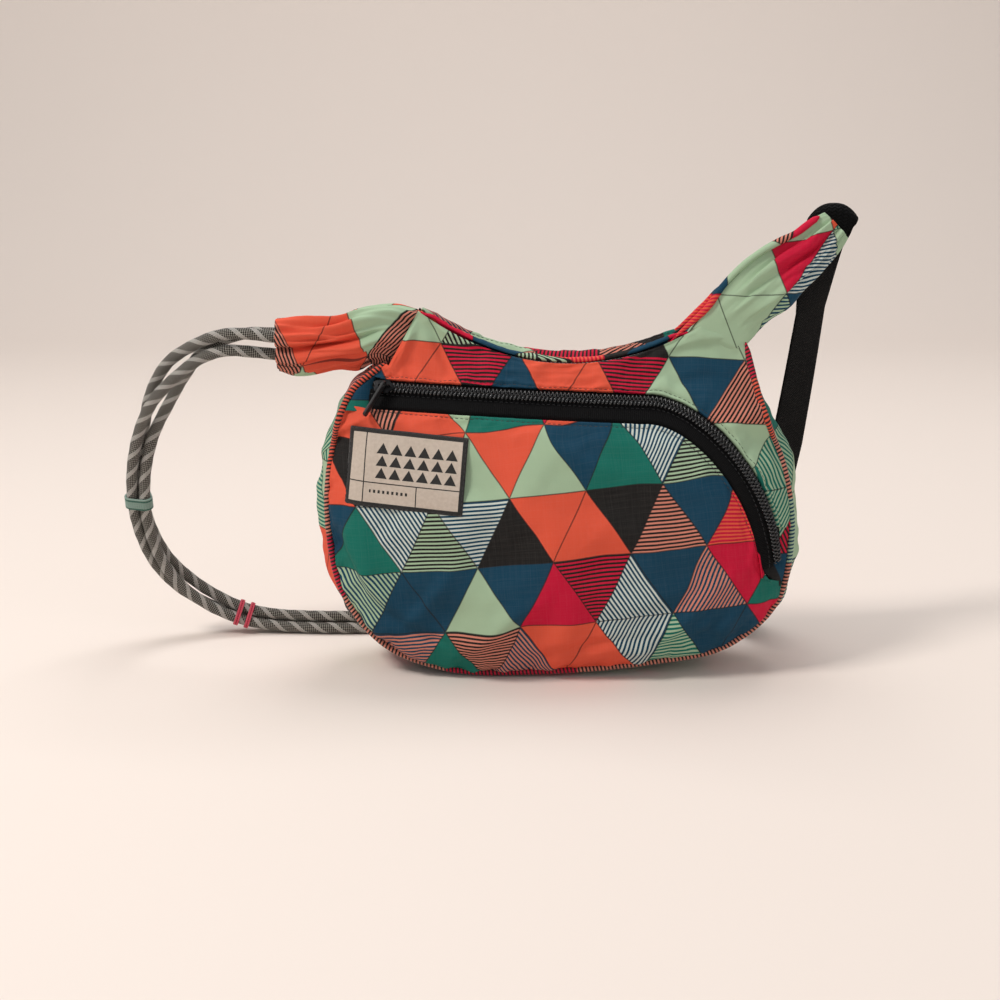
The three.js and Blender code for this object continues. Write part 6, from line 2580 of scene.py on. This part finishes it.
    def rope_loop(self) -> None:
        """Makes the webbing loop that holds the ropes' ends on the ring."""
        outer = self.ring_wire + 0.7 + self.thickness / 2
        angle = np.linspace(-0.5 * np.pi, 0.5 * np.pi, 30)
        low = self.ring_z - outer
        high = self.ring_z + outer
        start = self.loop_start + 1
        flat = [(start, low - 2.4), (start + 12, low - 2.4), (start + 23, low - 1.8)]
        flat += [(self.eye_x + outer * math.cos(a), self.ring_z + outer * math.sin(a)) for a in angle]
        flat += [(start + 23, high + 1.8), (start + 12, high + 2.4), (start, high + 2.4)]
        route = Line(smooth_line(flat, 6)).at(np.linspace(0, 1, 200))
        path = np.stack([route[:, 0], 0 * route[:, 0] + self.strap_y, route[:, 1]], -1)
        side = np.broadcast_to(DEPTHWISE, path.shape)
        band = self.ribbon("rope_end_loop_band", path, side, self.loop_width, self.thickness)
        core_x = np.linspace(start, start + 22, 30)
        core_path = np.stack([core_x, np.full(30, self.strap_y), np.full(30, self.ring_z)], -1)
        core_side = np.broadcast_to(DEPTHWISE, (30, 3))
        core = self.ribbon("loop_core", core_path, core_side, self.loop_width - 1.5, 7.6)
        piece = join_pieces("rope_end_loop_band", [band, core])
        Dressed(self.finishes.webbing, "webbing").wear(piece, "rope_end_loop")
        rows = []
        for x in (start + 3, start + 20):
            y = np.linspace(-self.loop_width / 2 + 2, self.loop_width / 2 - 2, 40) + self.strap_y
            z = np.full(40, high + 2.4 + self.thickness / 2 + 0.05 - (0.6 if x > start + 15 else 0))
            points = np.stack([np.full(40, x), y, z], -1)
            rows.append(stitches("row", points, np.broadcast_to([0.0, 0.0, 1.0], (40, 3)), 0.32))
        Dressed(self.finishes.pale_thread, "webbing").wear(join_pieces("loop_stitching", rows))

    def tail(self) -> None:
        """Makes the tail that runs back to the adjuster and is sewn round its middle bar."""
        start = self.ring_far_x + 5
        reach = self.bar / math.sqrt(2) + self.clearance + 0.55
        meet = math.asin(min((self.tail_z - self.bar_z) / reach, 1.0))
        angle = np.linspace(math.pi - meet, -0.55 * math.pi, 50)
        ring = [(self.adjuster_x + reach * math.cos(a), self.bar_z + reach * math.sin(a)) for a in angle]
        run = [(x, self.tail_z) for x in np.linspace(start, self.adjuster_x - reach - 2, 50)]
        route = Line(np.array(run + ring))
        flat = route.at(np.linspace(0, 1, 170))
        path = np.stack([flat[:, 0], np.full(len(flat), self.strap_y), flat[:, 1]], -1)
        side = np.broadcast_to(DEPTHWISE, path.shape)
        piece = self.ribbon("strap_tail_band", path, side, self.width, 1.1)
        piece.data.materials.clear()
        piece.data.materials.append(self.finishes.webbing)
        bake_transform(piece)
        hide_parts("webbing_tail")
        log.info("%s: %d faces, between bag and adjuster", piece.name, len(piece.data.polygons))

    def build(self) -> None:
        """Makes the strap's pieces."""
        self.strap()
        self.rope_loop()
        self.tail()


@dataclass
class Studio:
    """The pale sweep, the lamps and the camera."""

    lens: float = 55.38
    position: tuple[float, float, float] = (-0.04, -1.0153, 0.3659)
    tilt: float = math.radians(76)
    floor_start: float = -3000.0
    floor_end: float = 1500.0
    floor_half_width: float = 4000.0
    bend_radius: float = 900.0
    wall_height: float = 3400.0

    def camera(self) -> None:
        """Places the camera at the photograph's viewing angle."""
        data = bpy.data.cameras.new("portrait_camera")
        data.sensor_width = 36
        data.lens = self.lens
        camera = bpy.data.objects.new("portrait_camera", data)
        camera.location = self.position
        camera.rotation_euler = (self.tilt, 0, 0)
        bpy.context.scene.collection.objects.link(camera)
        bpy.context.scene.camera = camera

    def lamp(self, name: str, where: Sequence[float], power: float, size: float, tint: int) -> None:
        """Hangs one soft lamp that faces the bag.

        Args:
            name: The lamp's name.
            where: Its place, in metres.
            power: Its power, in watts.
            size: How wide it is, in metres.
            tint: The colour of its light.
        """
        data = bpy.data.lights.new(name, "AREA")
        data.energy = power
        data.size = size
        data.color = linear(tint)[:3]
        lamp = bpy.data.objects.new(name, data)
        lamp.location = where
        aim = Vector((0, 0, 0.12)) - Vector(where)
        lamp.rotation_euler = aim.to_track_quat("-Z", "Y").to_euler()
        bpy.context.scene.collection.objects.link(lamp)

    def sweep(self) -> None:
        """Makes the floor that curves up into the backdrop."""
        end, radius, half = self.floor_end, self.bend_radius, self.floor_half_width
        profile = [(self.floor_start, 0.0), (end, 0.0)]
        turn = np.linspace(0, np.pi / 2, 24)
        profile += [(end + radius * math.sin(a), radius * (1 - math.cos(a))) for a in turn[1:]]
        profile.append((end + radius, self.wall_height))
        points = [(x, y, z - 0.15) for y, z in profile for x in (-half, half)]
        faces = [(2 * i, 2 * i + 1, 2 * i + 3, 2 * i + 2) for i in range(len(profile) - 1)]
        floor = new_piece("studio_floor", np.array(points), faces)
        floor.data.materials.append(PalePaper().material())

    def light(self) -> None:
        """Lights the set and sets the plain view of colours."""
        scene = bpy.context.scene
        scene.view_settings.view_transform = "Standard"
        world = bpy.data.worlds.new("studio_air")
        world.use_nodes = True
        background = world.node_tree.nodes["Background"]
        background.inputs[0].default_value = (0.98, 0.98, 0.98, 1)
        background.inputs[1].default_value = 0.43
        scene.world = world
        self.lamp("key_lamp", (-1.35, -0.75, 1.9), power=30.0, size=0.55, tint=0xFFFAF5)
        self.lamp("fill_lamp", (1.6, -1.6, 1.3), power=5.0, size=1.6, tint=0xF8F9FF)
        self.lamp("top_lamp", (0.3, 0.8, 2.2), power=21.0, size=1.2, tint=0xFFFFFF)

    def build(self) -> None:
        """Sets up all but the camera."""
        self.sweep()
        self.light()


def main() -> None:
    """Builds the bag, piece by piece."""
    logging.basicConfig(level=logging.INFO, format="%(message)s")
    studio = Studio()
    studio.camera()
    finishes = Finishes()
    for assembly in (
        RopeStrap(finishes),
        PocketFront(finishes),
        UpperFront(finishes),
        ZipEnds(finishes),
        BackWall(finishes),
        GussetAndPiping(finishes),
        MouthHems(finishes),
        Sleeves(finishes),
        Zips(finishes),
        Hardware(finishes),
        WebbingStrap(finishes),
        studio,
    ):
        log.info("building %s", type(assembly).__name__)
        assembly.build()


if __name__ == "__main__":
    main()
